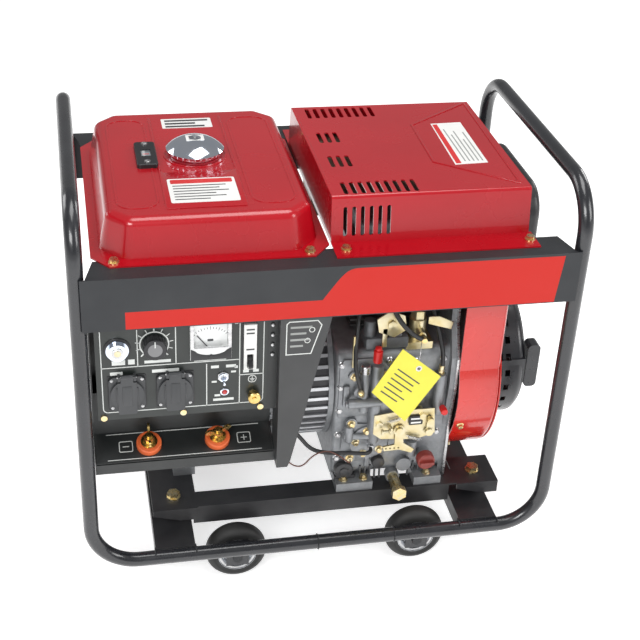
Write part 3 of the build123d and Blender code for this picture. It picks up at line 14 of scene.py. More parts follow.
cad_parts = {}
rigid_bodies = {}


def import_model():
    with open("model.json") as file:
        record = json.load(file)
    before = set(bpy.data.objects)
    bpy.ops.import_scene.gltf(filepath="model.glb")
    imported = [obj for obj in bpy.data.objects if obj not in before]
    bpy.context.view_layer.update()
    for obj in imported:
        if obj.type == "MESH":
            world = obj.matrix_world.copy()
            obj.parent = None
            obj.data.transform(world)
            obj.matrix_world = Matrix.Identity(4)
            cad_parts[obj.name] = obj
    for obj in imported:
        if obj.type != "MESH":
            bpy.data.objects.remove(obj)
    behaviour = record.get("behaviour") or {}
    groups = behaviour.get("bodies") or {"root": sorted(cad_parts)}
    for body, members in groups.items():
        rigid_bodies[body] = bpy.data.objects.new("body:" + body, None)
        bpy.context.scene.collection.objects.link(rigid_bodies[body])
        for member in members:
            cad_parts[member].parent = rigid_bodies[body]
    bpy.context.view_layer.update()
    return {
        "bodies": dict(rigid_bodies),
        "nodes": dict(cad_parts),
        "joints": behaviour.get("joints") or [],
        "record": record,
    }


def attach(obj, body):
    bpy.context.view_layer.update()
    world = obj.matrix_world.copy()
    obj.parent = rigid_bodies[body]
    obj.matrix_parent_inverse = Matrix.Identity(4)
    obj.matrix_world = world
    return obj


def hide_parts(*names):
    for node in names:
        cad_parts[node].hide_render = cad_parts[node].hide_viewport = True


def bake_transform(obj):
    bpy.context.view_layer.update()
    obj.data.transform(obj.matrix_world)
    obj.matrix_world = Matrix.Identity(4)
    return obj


logging.basicConfig(level=logging.INFO, format="%(message)s")
LOG = logging.getLogger("welder")

MM = 0.001
ROOT = "machine_frame"
Point = Sequence[float]
Pair = tuple[float, float]
Colour = tuple[float, float, float]

PANEL_FACE = -221.0
CRANK_CENTRE: Pair = (-22.0, 278.0)


class Axis(Enum):
    """The axis that a round or flat shape stands on."""

    X = 0
    Y = 1
    Z = 2


# ---------------------------------------------------------------- finishes


class NodeSheet:
    """A material's node tree with short ways to add and link nodes."""

    def __init__(self, name: str) -> None:
        """Makes an empty material whose one shader is a Principled BSDF.

        Args:
            name: the material's name.
        """
        self.material = bpy.data.materials.new(name)
        self.material.use_nodes = True
        self.tree = self.material.node_tree
        self.tree.nodes.clear()
        out = self.tree.nodes.new("ShaderNodeOutputMaterial")
        self.shader = self.tree.nodes.new("ShaderNodeBsdfPrincipled")
        self.tree.links.new(self.shader.outputs[0], out.inputs[0])
        self.place = self.tree.nodes.new("ShaderNodeTexCoord").outputs["Object"]

    def link(self, source: bpy.types.NodeSocket | float, target: bpy.types.NodeSocket) -> None:
        """Links a socket, or sets a plain number, on a target socket.

        Args:
            source: the socket or plain number to use.
            target: the socket that takes it.
        """
        if isinstance(source, bpy.types.NodeSocket):
            self.tree.links.new(source, target)
        else:
            target.default_value = source

    def math(self, kind: str, *values: bpy.types.NodeSocket | float,
             clamp: bool = False) -> bpy.types.NodeSocket:
        """Adds a Math node.

        Args:
            kind: the operation's name.
            values: sockets or numbers for its inputs.
            clamp: keeps the result between 0 and 1.

        Returns:
            The node's result.
        """
        node = self.tree.nodes.new("ShaderNodeMath")
        node.operation = kind
        node.use_clamp = clamp
        for value, target in zip(values, node.inputs):
            self.link(value, target)
        return node.outputs[0]

    def axes(self) -> tuple[bpy.types.NodeSocket, bpy.types.NodeSocket, bpy.types.NodeSocket]:
        """Returns the object's own X, Y and Z in metres.

        Returns:
            The three coordinates.
        """
        split = self.tree.nodes.new("ShaderNodeSeparateXYZ")
        self.tree.links.new(self.place, split.inputs[0])
        return split.outputs[0], split.outputs[1], split.outputs[2]

    def noise(self, scale: float, detail: float = 3.0, stretch: Point = (1, 1, 1)) -> bpy.types.NodeSocket:
        """Adds noise on the object's own coordinates.

        Args:
            scale: how many lumps there are in a metre.
            detail: octaves.
            stretch: scale along each axis.

        Returns:
            The noise from 0 to 1.
        """
        mapping = self.tree.nodes.new("ShaderNodeMapping")
        mapping.inputs["Scale"].default_value = stretch
        self.tree.links.new(self.place, mapping.inputs[0])
        node = self.tree.nodes.new("ShaderNodeTexNoise")
        node.inputs["Scale"].default_value = scale
        node.inputs["Detail"].default_value = detail
        self.tree.links.new(mapping.outputs[0], node.inputs["Vector"])
        return node.outputs["Fac"]

    def remap(self, value: bpy.types.NodeSocket, source: Pair, target: Pair) -> bpy.types.NodeSocket:
        """Stretches a value from one range to another, held inside it.

        Args:
            value: the socket to stretch.
            source: the range that it comes in.
            target: the range that it leaves in.

        Returns:
            The stretched value.
        """
        node = self.tree.nodes.new("ShaderNodeMapRange")
        self.tree.links.new(value, node.inputs[0])
        for number, at in zip((*source, *target), range(1, 5)):
            node.inputs[at].default_value = number
        return node.outputs[0]

    def mix(self, factor: bpy.types.NodeSocket | float, low: object, high: object) -> bpy.types.NodeSocket:
        """Mixes two colours, each a socket or a plain colour.

        Args:
            factor: 0 for the low colour and 1 for the high one.
            low: the colour at 0.
            high: the colour at 1.

        Returns:
            The mixed colour.
        """
        node = self.tree.nodes.new("ShaderNodeMix")
        node.data_type = "RGBA"
        self.link(factor, node.inputs[0])
        for value, at in ((low, 6), (high, 7)):
            if isinstance(value, bpy.types.NodeSocket):
                self.tree.links.new(value, node.inputs[at])
            else:
                node.inputs[at].default_value = (*value, 1.0)
        return node.outputs[2]

    def bump(self, height: bpy.types.NodeSocket, strength: float, depth: float) -> None:
        """Puts a bump on the shader, its depth in millimetres.

        Args:
            height: the socket that gives the relief.
            strength: how much of it shows, from 0 to 1.
            depth: its depth in millimetres.
        """
        node = self.tree.nodes.new("ShaderNodeBump")
        node.inputs["Strength"].default_value = strength
        node.inputs["Distance"].default_value = depth * MM
        self.tree.links.new(height, node.inputs["Height"])
        self.tree.links.new(node.outputs[0], self.shader.inputs["Normal"])


@dataclass(frozen=True)
class Finish:
    """A surface finish: two tones that mottle into each other, gloss, grain and dust."""

    name: str
    tone: Colour
    second: Colour
    rough: Pair = (0.3, 0.45)
    metallic: float = 0.0
    coat: float = 0.0
    coat_rough: float = 0.08
    mottle: float = 18.0
    grain: float = 900.0
    grain_depth: float = 0.02
    grain_strength: float = 0.25
    stretch: tuple[float, float, float] = (1.0, 1.0, 1.0)
    specular: float = 0.5
    dust: float = 0.0

    def sheet(self) -> NodeSheet:
        """Builds the finish's nodes.

        Returns:
            The node sheet, so that a special finish can add to it.
        """
        sheet = NodeSheet(self.name)
        shader = sheet.shader
        tone = sheet.mix(sheet.remap(sheet.noise(self.mottle, 5.0, self.stretch), (0.35, 0.65), (0, 1)),
                         self.tone, self.second)
        if self.dust:
            cloud = sheet.remap(sheet.noise(7.0, 6.0), (0.55, 0.75), (0.0, self.dust))
            tone = sheet.mix(cloud, tone, (0.32, 0.3, 0.27))
        sheet.link(self.colour(sheet, tone), shader.inputs["Base Color"])
        rough = sheet.remap(sheet.noise(self.mottle * 3.1, 4.0, self.stretch), (0.3, 0.7), self.rough)
        sheet.link(self.roughness(sheet, rough), shader.inputs["Roughness"])
        shader.inputs["Metallic"].default_value = self.metallic
        shader.inputs["Coat Weight"].default_value = self.coat
        shader.inputs["Coat Roughness"].default_value = self.coat_rough
        shader.inputs["Specular IOR Level"].default_value = self.specular
        sheet.bump(sheet.noise(self.grain, 2.0, self.stretch), self.grain_strength, self.grain_depth)
        return sheet

    def colour(self, sheet: NodeSheet, tone: bpy.types.NodeSocket) -> bpy.types.NodeSocket:
        """Returns the final colour; a plain finish keeps its tone."""
        return tone

    def roughness(self, sheet: NodeSheet, rough: bpy.types.NodeSocket) -> bpy.types.NodeSocket:
        """Returns the final roughness; a plain finish keeps it."""
        return rough


@dataclass(frozen=True)
class BeamPaint(Finish):
    """Charcoal beam paint with the orange-red band, which rises in a slanted curve to the right."""

    band: Colour = (0.48, 0.010, 0.004)
    low: float = 483.8
    step: float = 510.0
    high: float = 556.5
    left: float = -286.0
    right: float = 311.0
    rise: Pair = (-22.0, 30.0)

    def colour(self, sheet: NodeSheet, tone: bpy.types.NodeSocket) -> bpy.types.NodeSocket:
        """Lays the band over the charcoal on the outer faces of both beams.

        Args:
            sheet: the material's nodes.
            tone: the charcoal.

        Returns:
            The charcoal with the band on it.
        """
        x, y, z = sheet.axes()
        away = sheet.math("ABSOLUTE", y)
        outer = sheet.math("GREATER_THAN", away, 239.4 * MM)
        slope = sheet.remap(x, (self.rise[0] * MM, self.rise[1] * MM), (0.0, 1.0))
        eased = sheet.math("SMOOTH_MIN", sheet.math("MULTIPLY", slope, 1.6), 1.0, 0.6)
        top = sheet.remap(eased, (0.0, 1.0), (self.step * MM, self.high * MM))
        end = sheet.math("ADD", self.right * MM - 483.0 * MM * 0.1, sheet.math("MULTIPLY", z, 0.1))
        mask = sheet.math("MULTIPLY", sheet.math("LESS_THAN", z, top),
                          sheet.math("GREATER_THAN", z, self.low * MM))
        mask = sheet.math("MULTIPLY", mask, sheet.math("GREATER_THAN", x, self.left * MM))
        mask = sheet.math("MULTIPLY", mask, sheet.math("LESS_THAN", x, end))
        return sheet.mix(sheet.math("MULTIPLY", mask, outer), tone, self.band)


@dataclass(frozen=True)
class WheelFinish(Finish):
    """Solid tyre round a bright pressed rim, told apart by the distance from the axle."""

    axle: Pair = (0.0, 47.0)
    rim_radius: float = 29.4
    rim: Colour = (0.62, 0.64, 0.67)

    def inside(self, sheet: NodeSheet) -> bpy.types.NodeSocket:
        """Returns 1 on the rim and 0 on the tyre.

        Args:
            sheet: the material's nodes.

        Returns:
            The mask.
        """
        x, _, z = sheet.axes()
        across = sheet.math("SUBTRACT", x, self.axle[0] * MM)
        up = sheet.math("SUBTRACT", z, self.axle[1] * MM)
        square = sheet.math("ADD", sheet.math("MULTIPLY", across, across), sheet.math("MULTIPLY", up, up))
        return sheet.math("LESS_THAN", square, (self.rim_radius * MM) ** 2)

    def colour(self, sheet: NodeSheet, tone: bpy.types.NodeSocket) -> bpy.types.NodeSocket:
        """Puts the rim's colour inside the tyre's.

        Args:
            sheet: the material's nodes.
            tone: the tyre's colour.

        Returns:
            The wheel's colour.
        """
        mask = self.inside(sheet)
        sheet.link(sheet.math("MULTIPLY", mask, 0.85), sheet.shader.inputs["Metallic"])
        return sheet.mix(mask, tone, self.rim)

    def roughness(self, sheet: NodeSheet, rough: bpy.types.NodeSocket) -> bpy.types.NodeSocket:
        """Makes the rim smoother than the tyre."""
        return sheet.math("SUBTRACT", rough, sheet.math("MULTIPLY", self.inside(sheet), 0.28))


@dataclass(frozen=True)
class FrameBolts(Finish):
    """Yellow zinc bolts on the mounts, and the axle bolts below them painted with the frame."""

    painted_below: float = 60.0
    paint: Colour = (0.012, 0.013, 0.016)

    def painted(self, sheet: NodeSheet) -> bpy.types.NodeSocket:
        """Returns 1 on the painted bolts."""
        return sheet.math("LESS_THAN", sheet.axes()[2], self.painted_below * MM)

    def colour(self, sheet: NodeSheet, tone: bpy.types.NodeSocket) -> bpy.types.NodeSocket:
        """Paints the low bolts."""
        sheet.link(sheet.math("SUBTRACT", 1.0, self.painted(sheet)), sheet.shader.inputs["Metallic"])
        return sheet.mix(self.painted(sheet), tone, self.paint)


GLOSS_BLACK = Finish("gloss black powder coat", (0.010, 0.011, 0.014), (0.016, 0.017, 0.021), (0.24, 0.34),
                     coat=0.55, coat_rough=0.1, grain=420, grain_depth=0.05, grain_strength=0.18, dust=0.03)
SATIN_BLACK = Finish("satin black paint", (0.012, 0.012, 0.014), (0.021, 0.021, 0.023), (0.36, 0.52),
                     coat=0.2, coat_rough=0.3, grain=600, grain_depth=0.05, dust=0.06)
BEAM = BeamPaint("charcoal beam with orange band", (0.024, 0.026, 0.029), (0.03, 0.032, 0.035), (0.34, 0.44),
                 coat=0.08, coat_rough=0.2, grain=500, grain_depth=0.03, specular=0.28)
CRIMSON = Finish("glossy crimson", (0.42, 0.003, 0.010), (0.37, 0.002, 0.008), (0.22, 0.3),
                 coat=0.5, coat_rough=0.05, mottle=4, grain=260, grain_depth=0.05, grain_strength=0.1)
SHROUD_RED = Finish("red-orange shroud paint", (0.58, 0.012, 0.005), (0.52, 0.009, 0.004), (0.24, 0.32),
                    coat=0.8, coat_rough=0.07, mottle=6, grain=260, grain_depth=0.05, grain_strength=0.1)
PANEL = Finish("near-black panel paint", (0.010, 0.014, 0.012), (0.014, 0.018, 0.016), (0.36, 0.46),
               coat=0.2, coat_rough=0.25, grain=1400, grain_depth=0.03, grain_strength=0.3)
BOX_BLACK = Finish("control box paint", (0.014, 0.016, 0.016), (0.02, 0.022, 0.022), (0.36, 0.5),
                   coat=0.15, coat_rough=0.3, grain=900, grain_depth=0.03)
SIDE_GREY = Finish("grey side plate paint", (0.026, 0.027, 0.028), (0.033, 0.034, 0.035), (0.38, 0.5),
                   coat=0.15, coat_rough=0.3, grain=900, grain_depth=0.03)
YELLOW_ZINC = Finish("yellow zinc plate", (0.78, 0.58, 0.25), (0.66, 0.6, 0.42), (0.22, 0.42),
                     metallic=1.0, mottle=120, grain=1600, grain_depth=0.03)
FRAME_BOLTS = FrameBolts("frame bolts", (0.78, 0.58, 0.25), (0.66, 0.6, 0.42), (0.22, 0.42),
                         mottle=120, grain=1600, grain_depth=0.03)
BRACKET_ZINC = Finish("pale zinc bracket", (0.62, 0.52, 0.28), (0.66, 0.6, 0.42), (0.28, 0.46),
                      metallic=0.9, mottle=60, grain=900, grain_depth=0.04)
STEEL = Finish("bright steel", (0.6, 0.6, 0.6), (0.48, 0.48, 0.49), (0.2, 0.4),
               metallic=1.0, mottle=50, grain=1500, grain_depth=0.02, stretch=(1, 1, 5))
CHROME = Finish("chrome plate", (0.74, 0.78, 0.86), (0.68, 0.74, 0.84), (0.05, 0.12),
                metallic=1.0, mottle=30, grain=900, grain_depth=0.01, grain_strength=0.1)
BRASS = Finish("brass", (0.72, 0.52, 0.2), (0.56, 0.4, 0.14), (0.2, 0.36),
               metallic=1.0, mottle=110, grain=1500, grain_depth=0.02)
RUBBER = Finish("rubber", (0.012, 0.012, 0.012), (0.02, 0.02, 0.02), (0.62, 0.8),
                grain=1300, grain_depth=0.06, dust=0.1)
BLACK_PLASTIC = Finish("black moulded plastic", (0.012, 0.012, 0.014), (0.018, 0.018, 0.02), (0.3, 0.42),
                       grain=1600, grain_depth=0.04, dust=0.03)
RIBBED_PLASTIC = Finish("recoil housing plastic", (0.014, 0.015, 0.018), (0.022, 0.023, 0.026), (0.24, 0.36),
                        coat=0.2, grain=1200, grain_depth=0.05, dust=0.04)
GREY_PLASTIC = Finish("grey plastic", (0.16, 0.16, 0.165), (0.2, 0.2, 0.205), (0.38, 0.5),
                      grain=1500, grain_depth=0.03)
DARK_PLASTIC = Finish("dark grey plastic", (0.035, 0.037, 0.04), (0.048, 0.05, 0.053), (0.34, 0.46),
                      grain=1500, grain_depth=0.03)
WHITE_PLASTIC = Finish("white plastic", (0.74, 0.74, 0.72), (0.66, 0.66, 0.64), (0.3, 0.42),
                       grain=1200, grain_depth=0.02)
RED_PLASTIC = Finish("red plastic", (0.62, 0.015, 0.012), (0.52, 0.01, 0.01), (0.28, 0.4),
                     grain=900, grain_depth=0.03)
BROWN_PLASTIC = Finish("oil cap red-brown plastic", (0.26, 0.04, 0.03), (0.2, 0.028, 0.022), (0.34, 0.46),
                       grain=900, grain_depth=0.03)
ORANGE = Finish("orange moulding", (0.72, 0.14, 0.035), (0.62, 0.11, 0.03), (0.4, 0.52),
                grain=1300, grain_depth=0.05)
CAST_ALLOY = Finish("cast aluminium", (0.31, 0.32, 0.335), (0.26, 0.27, 0.28), (0.42, 0.62),
                    metallic=0.72, mottle=70, grain=700, grain_depth=0.22, grain_strength=0.55, dust=0.12)
# Cast aluminium for the adapter louvres, lighter than the adapter's own alloy: the extra lightness is painted
# highlight.
LOUVRE_ALLOY_PAINTED_HIGHLIGHT = Finish("cast aluminium lightened as painted highlight", (0.62, 0.63, 0.65), (0.54, 0.55, 0.57), (0.3, 0.45),
                      metallic=0.8, mottle=60, grain=800, grain_depth=0.1, grain_strength=0.4)
DARK_ALLOY = Finish("darker cast aluminium", (0.15, 0.155, 0.165), (0.12, 0.125, 0.13), (0.45, 0.65),
                    metallic=0.7, mottle=60, grain=700, grain_depth=0.22, grain_strength=0.55, dust=0.1)
CAST_IRON = Finish("cast iron", (0.1, 0.1, 0.1), (0.16, 0.155, 0.15), (0.5, 0.7),
                   metallic=0.6, mottle=90, grain=600, grain_depth=0.25, grain_strength=0.6)
EXHAUST = Finish("exhaust steel", (0.16, 0.14, 0.12), (0.26, 0.2, 0.15), (0.4, 0.6),
                 metallic=0.8, mottle=24, grain=700, grain_depth=0.08)
WINDING = Finish("lacquered copper windings", (0.32, 0.12, 0.05), (0.42, 0.18, 0.07), (0.3, 0.45),
                 metallic=0.5, mottle=200, grain=900, grain_depth=0.3, stretch=(8, 1, 1))
YELLOW_CARD = Finish("yellow card", (0.74, 0.68, 0.07), (0.7, 0.64, 0.06), (0.5, 0.62),
                     mottle=30, grain=1500, grain_depth=0.02)
LABEL_WHITE = Finish("white label film", (0.8, 0.8, 0.78), (0.76, 0.76, 0.74), (0.3, 0.42),
                     grain=900, grain_depth=0.01)
LABEL_RED = Finish("red label ink", (0.6, 0.03, 0.03), (0.55, 0.025, 0.025), (0.35, 0.45))
# Black label ink; also used for the black band that is painted shade in the adapter's louvre gaps.
BLACK_INK_AND_PAINTED_SHADE = Finish("black label ink and painted shade", (0.04, 0.04, 0.045), (0.055, 0.055, 0.06), (0.4, 0.5))
PRINT_WHITE = Finish("white panel ink", (0.66, 0.68, 0.66), (0.58, 0.6, 0.58), (0.4, 0.5))
PRINT_GREY = Finish("grey panel ink", (0.3, 0.31, 0.3), (0.25, 0.26, 0.25), (0.42, 0.52))
CABLE = Finish("cable sheath", (0.012, 0.012, 0.013), (0.02, 0.02, 0.021), (0.4, 0.52),
               grain=1400, grain_depth=0.03)
ROPE = Finish("starter rope", (0.5, 0.5, 0.48), (0.12, 0.12, 0.12), (0.6, 0.75), mottle=420,
              grain=1500, grain_depth=0.1)
BROWN_WIRE = Finish("brown wire", (0.09, 0.03, 0.02), (0.13, 0.045, 0.03), (0.4, 0.5))
CLEAR_HOSE = Finish("black fuel hose", (0.015, 0.015, 0.016), (0.022, 0.022, 0.023), (0.34, 0.46),
                    grain=1300, grain_depth=0.04)
LAMP_RED = Finish("lamp lens", (0.5, 0.02, 0.02), (0.42, 0.016, 0.016), (0.12, 0.2), coat=0.8)
WELD = Finish("painted weld", (0.015, 0.016, 0.019), (0.024, 0.025, 0.029), (0.28, 0.4),
              coat=0.4, grain=900, grain_depth=0.08)
METER_GLASS = Finish("meter face", (0.78, 0.79, 0.78), (0.72, 0.73, 0.73), (0.16, 0.24), coat=0.9)
GAUGE_GLASS = Finish("gauge window", (0.2, 0.22, 0.24), (0.28, 0.3, 0.32), (0.06, 0.12), coat=1.0)
TYRE = dict(tone=(0.012, 0.012, 0.012), second=(0.019, 0.019, 0.019), rough=(0.5, 0.66),
            grain=1100, grain_depth=0.05, dust=0.06)


class Paintbox:
    """Makes each finish's material once and hands it out."""

    def __init__(self) -> None:
        """Starts with no materials."""
        self.made: dict[str, bpy.types.Material] = {}

    def of(self, finish: Finish) -> bpy.types.Material:
        """Returns the material of a finish.

        Args:
            finish: the finish to look up.

        Returns:
            Its one material, made at the first call.
        """
        if finish.name not in self.made:
            self.made[finish.name] = finish.sheet().material
        return self.made[finish.name]


PAINT = Paintbox()


# ---------------------------------------------------------------- shapes


class Maker:
    """Collects closed shapes, given in millimetres, in one mesh and makes a piece of them."""

    def __init__(self) -> None:
        """Starts with an empty mesh."""
        self.bm = bmesh.new()

    def take(self, shape: bmesh.types.BMesh, bevel: float = 0.0, steps: int = 2, angle: float = 30.0) -> None:
        """Bevels a shape's sharp edges and adds it.

        Args:
            shape: a closed shape in millimetres.
            bevel: width of the rounding.
            steps: segments of the rounding.
            angle: edges sharper than this many degrees are rounded.
        """
        bmesh.ops.recalc_face_normals(shape, faces=shape.faces)
        if bevel:
            sharp = [e for e in shape.edges if e.is_manifold and e.calc_face_angle(0) > math.radians(angle)]
            bmesh.ops.bevel(shape, geom=sharp, offset=bevel, offset_type="OFFSET", segments=steps,
                            affect="EDGES", profile=0.5, clamp_overlap=True)
        mesh = bpy.data.meshes.new("shape")
        shape.to_mesh(mesh)
        shape.free()
        self.bm.from_mesh(mesh)
        bpy.data.meshes.remove(mesh)

    def block(self, low: Point, high: Point, bevel: float = 0.0, turn: Matrix | None = None) -> None:
        """Adds a box between two corners, turned about its middle if asked.

        Args:
            low: the corner with the smaller numbers.
            high: the corner with the larger numbers.
            bevel: width of the broken edges.
            turn: a turn about the box's middle.
        """
        shape = bmesh.new()
        bmesh.ops.create_cube(shape, size=1.0)
        low_v, high_v = Vector(low), Vector(high)
        size = high_v - low_v
        middle = Matrix.Translation((low_v + high_v) / 2)
        scale = Matrix.Diagonal((*size, 1.0))
        bmesh.ops.transform(shape, matrix=middle @ (turn or Matrix()) @ scale, verts=shape.verts)
        self.take(shape, bevel)

    def rod(self, start: Point, end: Point, radius: float, sides: int = 32, bevel: float = 0.0,
            end_radius: float | None = None) -> None:
        """Adds a round, hexagonal or tapered bar between two points.

        Args:
            start: middle of one end.
            end: middle of the other end.
            radius: radius at the start.
            sides: faces round the bar.
            bevel: width of the broken edges.
            end_radius: radius at the end, where it differs.
        """
        shape = bmesh.new()
        a, b = Vector(start), Vector(end)
        bmesh.ops.create_cone(shape, cap_ends=True, segments=sides, radius1=radius,
                              radius2=radius if end_radius is None else end_radius, depth=(b - a).length)
        turn = (b - a).to_track_quat("Z", "Y").to_matrix().to_4x4()
        bmesh.ops.transform(shape, matrix=Matrix.Translation((a + b) / 2) @ turn, verts=shape.verts)
        self.take(shape, bevel, angle=50.0)

    def sheet(self, outline: Sequence[Pair], levels: Pair, axis: Axis = Axis.Y, bevel: float = 0.0,
              hole: Sequence[Pair] | None = None, frame: Matrix | None = None) -> None:
        """Adds a flat piece: an outline given in the two other axes, raised along one axis.

        Args:
            outline: corners in order, in the two axes that remain, X before Z.
            levels: where it starts and ends along its axis.
            axis: the axis that it is raised along.
            bevel: width of the rounding of its edges.
            hole: an inner outline with as many corners, which makes it a frame.
            frame: turns and places the finished shape.
        """
        shape = bmesh.new()

        def corner(at: Pair, level: float) -> bmesh.types.BMVert:
            """Adds one corner at a level.

            Args:
                at: the corner's place across the axis.
                level: its place along the axis.

            Returns:
                The new corner.
            """
            spot = [at[0], at[1]]
            spot.insert(axis.value, level)
            return shape.verts.new(spot)

        rings = [[corner(at, level) for at in loop] for level in levels for loop in (outline, hole) if loop]
        if hole:
            low_out, low_in, high_out, high_in = rings
            sets = ((low_out, low_in), (high_out, high_in), (low_out, high_out), (low_in, high_in))
            for one, two in sets:
                self._band(shape, one, two)
        else:
            shape.faces.new(rings[0])
            shape.faces.new(rings[1])
            self._band(shape, rings[0], rings[1])
        if frame:
            bmesh.ops.transform(shape, matrix=frame, verts=shape.verts)
        self.take(shape, bevel)

    @staticmethod
    def _band(shape: bmesh.types.BMesh, one: Sequence[bmesh.types.BMVert],
              two: Sequence[bmesh.types.BMVert]) -> None:
        """Joins two loops of corners with faces.

        Args:
            shape: the mesh to add to.
            one: one loop of corners.
            two: the other loop, as many corners long.
        """
        count = len(one)
        for i in range(count):
            j = (i + 1) % count
            shape.faces.new((one[i], one[j], two[j], two[i]))

    def spun(self, profile: Sequence[Pair], centre: Point, axis: Point, sides: int = 48) -> None:
        """Adds a turned shape: a closed profile of radius and height spun round an axis.

        Args:
            profile: radius and height of each corner.
            centre: the point that heights start from.
            axis: the direction that heights run in.
            sides: steps round the axis.
        """
        shape = bmesh.new()
        rings = []
        for step in range(sides):
            turn = 2 * math.pi * step / sides
            rings.append([shape.verts.new((r * math.cos(turn), r * math.sin(turn), h)) for r, h in profile])
        for step in range(sides):
            self._band(shape, rings[step], rings[(step + 1) % sides])
        bmesh.ops.remove_doubles(shape, verts=shape.verts, dist=1e-4)
        flat = [f for f in shape.faces if f.calc_area() < 1e-9]
        bmesh.ops.delete(shape, geom=flat, context="FACES")
        turn_to = Vector(axis).to_track_quat("Z", "Y").to_matrix().to_4x4()
        bmesh.ops.transform(shape, matrix=Matrix.Translation(centre) @ turn_to, verts=shape.verts)
        self.take(shape)

    def pipe(self, points: Sequence[Point], radius: float, smooth: bool = True) -> None:
        """Adds a round pipe or wire that follows points as one smooth line.

        Args:
            points: the route.
            radius: the pipe's radius.
            smooth: rounds the route, and otherwise it keeps its corners.
        """
        data = bpy.data.curves.new("line", "CURVE")
        data.dimensions = "3D"
        spline = data.splines.new("NURBS" if smooth else "POLY")
        spline.points.add(len(points) - 1)
        for spot, to in zip(spline.points, points):
            spot.co = (*to, 1.0)
        if smooth:
            spline.order_u = 3
            spline.use_endpoint_u = True
        data.bevel_depth = radius
        data.bevel_resolution = 4
        data.use_fill_caps = True
        data.resolution_u = 8
        mesh = mesh_of(data)
        shape = bmesh.new()
        shape.from_mesh(mesh)
        bpy.data.meshes.remove(mesh)
        bmesh.ops.remove_doubles(shape, verts=shape.verts, dist=1e-4)
        self.take(shape)

    def finish(self, name: str, finish: Finish, body: str | None = ROOT, slot: str = "plastic_black",
               crease: float = 35.0) -> bpy.types.Object:
        """Makes the collected shapes a piece that rides on a body.

        Args:
            name: the piece's name.
            finish: its surface.
            body: the CAD body that carries it, or None for a piece that rides on no body.
            slot: the record's material slot; not used.
            crease: edges sharper than this many degrees stay sharp.

        Returns:
            The piece.
        """
        bmesh.ops.scale(self.bm, vec=(MM, MM, MM), verts=self.bm.verts)
        mesh = bpy.data.meshes.new(name)
        self.bm.to_mesh(mesh)
        self.bm.free()
        mesh.materials.append(PAINT.of(finish))
        smooth(mesh, crease)
        piece = bpy.data.objects.new(name, mesh)
        bpy.context.scene.collection.objects.link(piece)
        if body:
            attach(piece, body)
        LOG.info("%s: %d faces", name, len(mesh.polygons))
        return piece


def mesh_of(data: bpy.types.ID) -> bpy.types.Mesh:
    """Returns the plain mesh that a curve or a modified object's data gives.

    Args:
        data: a curve, or an object with live modifiers, which is removed afterwards.

    Returns:
        A mesh with no modifiers.
    """
    carrier = data if isinstance(data, bpy.types.Object) else bpy.data.objects.new("carrier", data)
    if carrier is not data:
        bpy.context.scene.collection.objects.link(carrier)
    graph = bpy.context.evaluated_depsgraph_get()
    mesh = bpy.data.meshes.new_from_object(carrier.evaluated_get(graph))
    bpy.data.objects.remove(carrier)
    return mesh


def smooth(mesh: bpy.types.Mesh, crease: float) -> None:
    """Shades a mesh smooth but for edges sharper than so many degrees.

    Args:
        mesh: the mesh to shade.
        crease: the angle in degrees from which an edge stays sharp.
    """
    mesh.polygons.foreach_set("use_smooth", [True] * len(mesh.polygons))
    bm = bmesh.new()
    bm.from_mesh(mesh)
    for edge in bm.edges:
        edge.smooth = edge.is_manifold and edge.calc_face_angle(0) < math.radians(crease)
    bm.to_mesh(mesh)
    bm.free()


def rounded(low: Pair, high: Pair, radius: float, steps: int = 5) -> list[Pair]:
    """Returns a rectangle's outline with round corners.

    Args:
        low: the corner with the smaller numbers.
        high: the corner with the larger numbers.
        radius: the corners' radius.
        steps: straight pieces in each corner.

    Returns:
        The outline, anticlockwise.
    """
    spots = []
    centres = ((high[0] - radius, high[1] - radius, 0), (low[0] + radius, high[1] - radius, 90),
               (low[0] + radius, low[1] + radius, 180), (high[0] - radius, low[1] + radius, 270))
    for x, y, start in centres:
        for step in range(steps + 1):
            turn = math.radians(start + 90 * step / steps)
            spots.append((x + radius * math.cos(turn), y + radius * math.sin(turn)))
    return spots


def circle(centre: Pair, radius: float, sides: int = 40) -> list[Pair]:
    """Returns a circle's outline."""
    return [(centre[0] + radius * math.cos(2 * math.pi * i / sides),
             centre[1] + radius * math.sin(2 * math.pi * i / sides)) for i in range(sides)]


# ---------------------------------------------------------------- repeated pieces


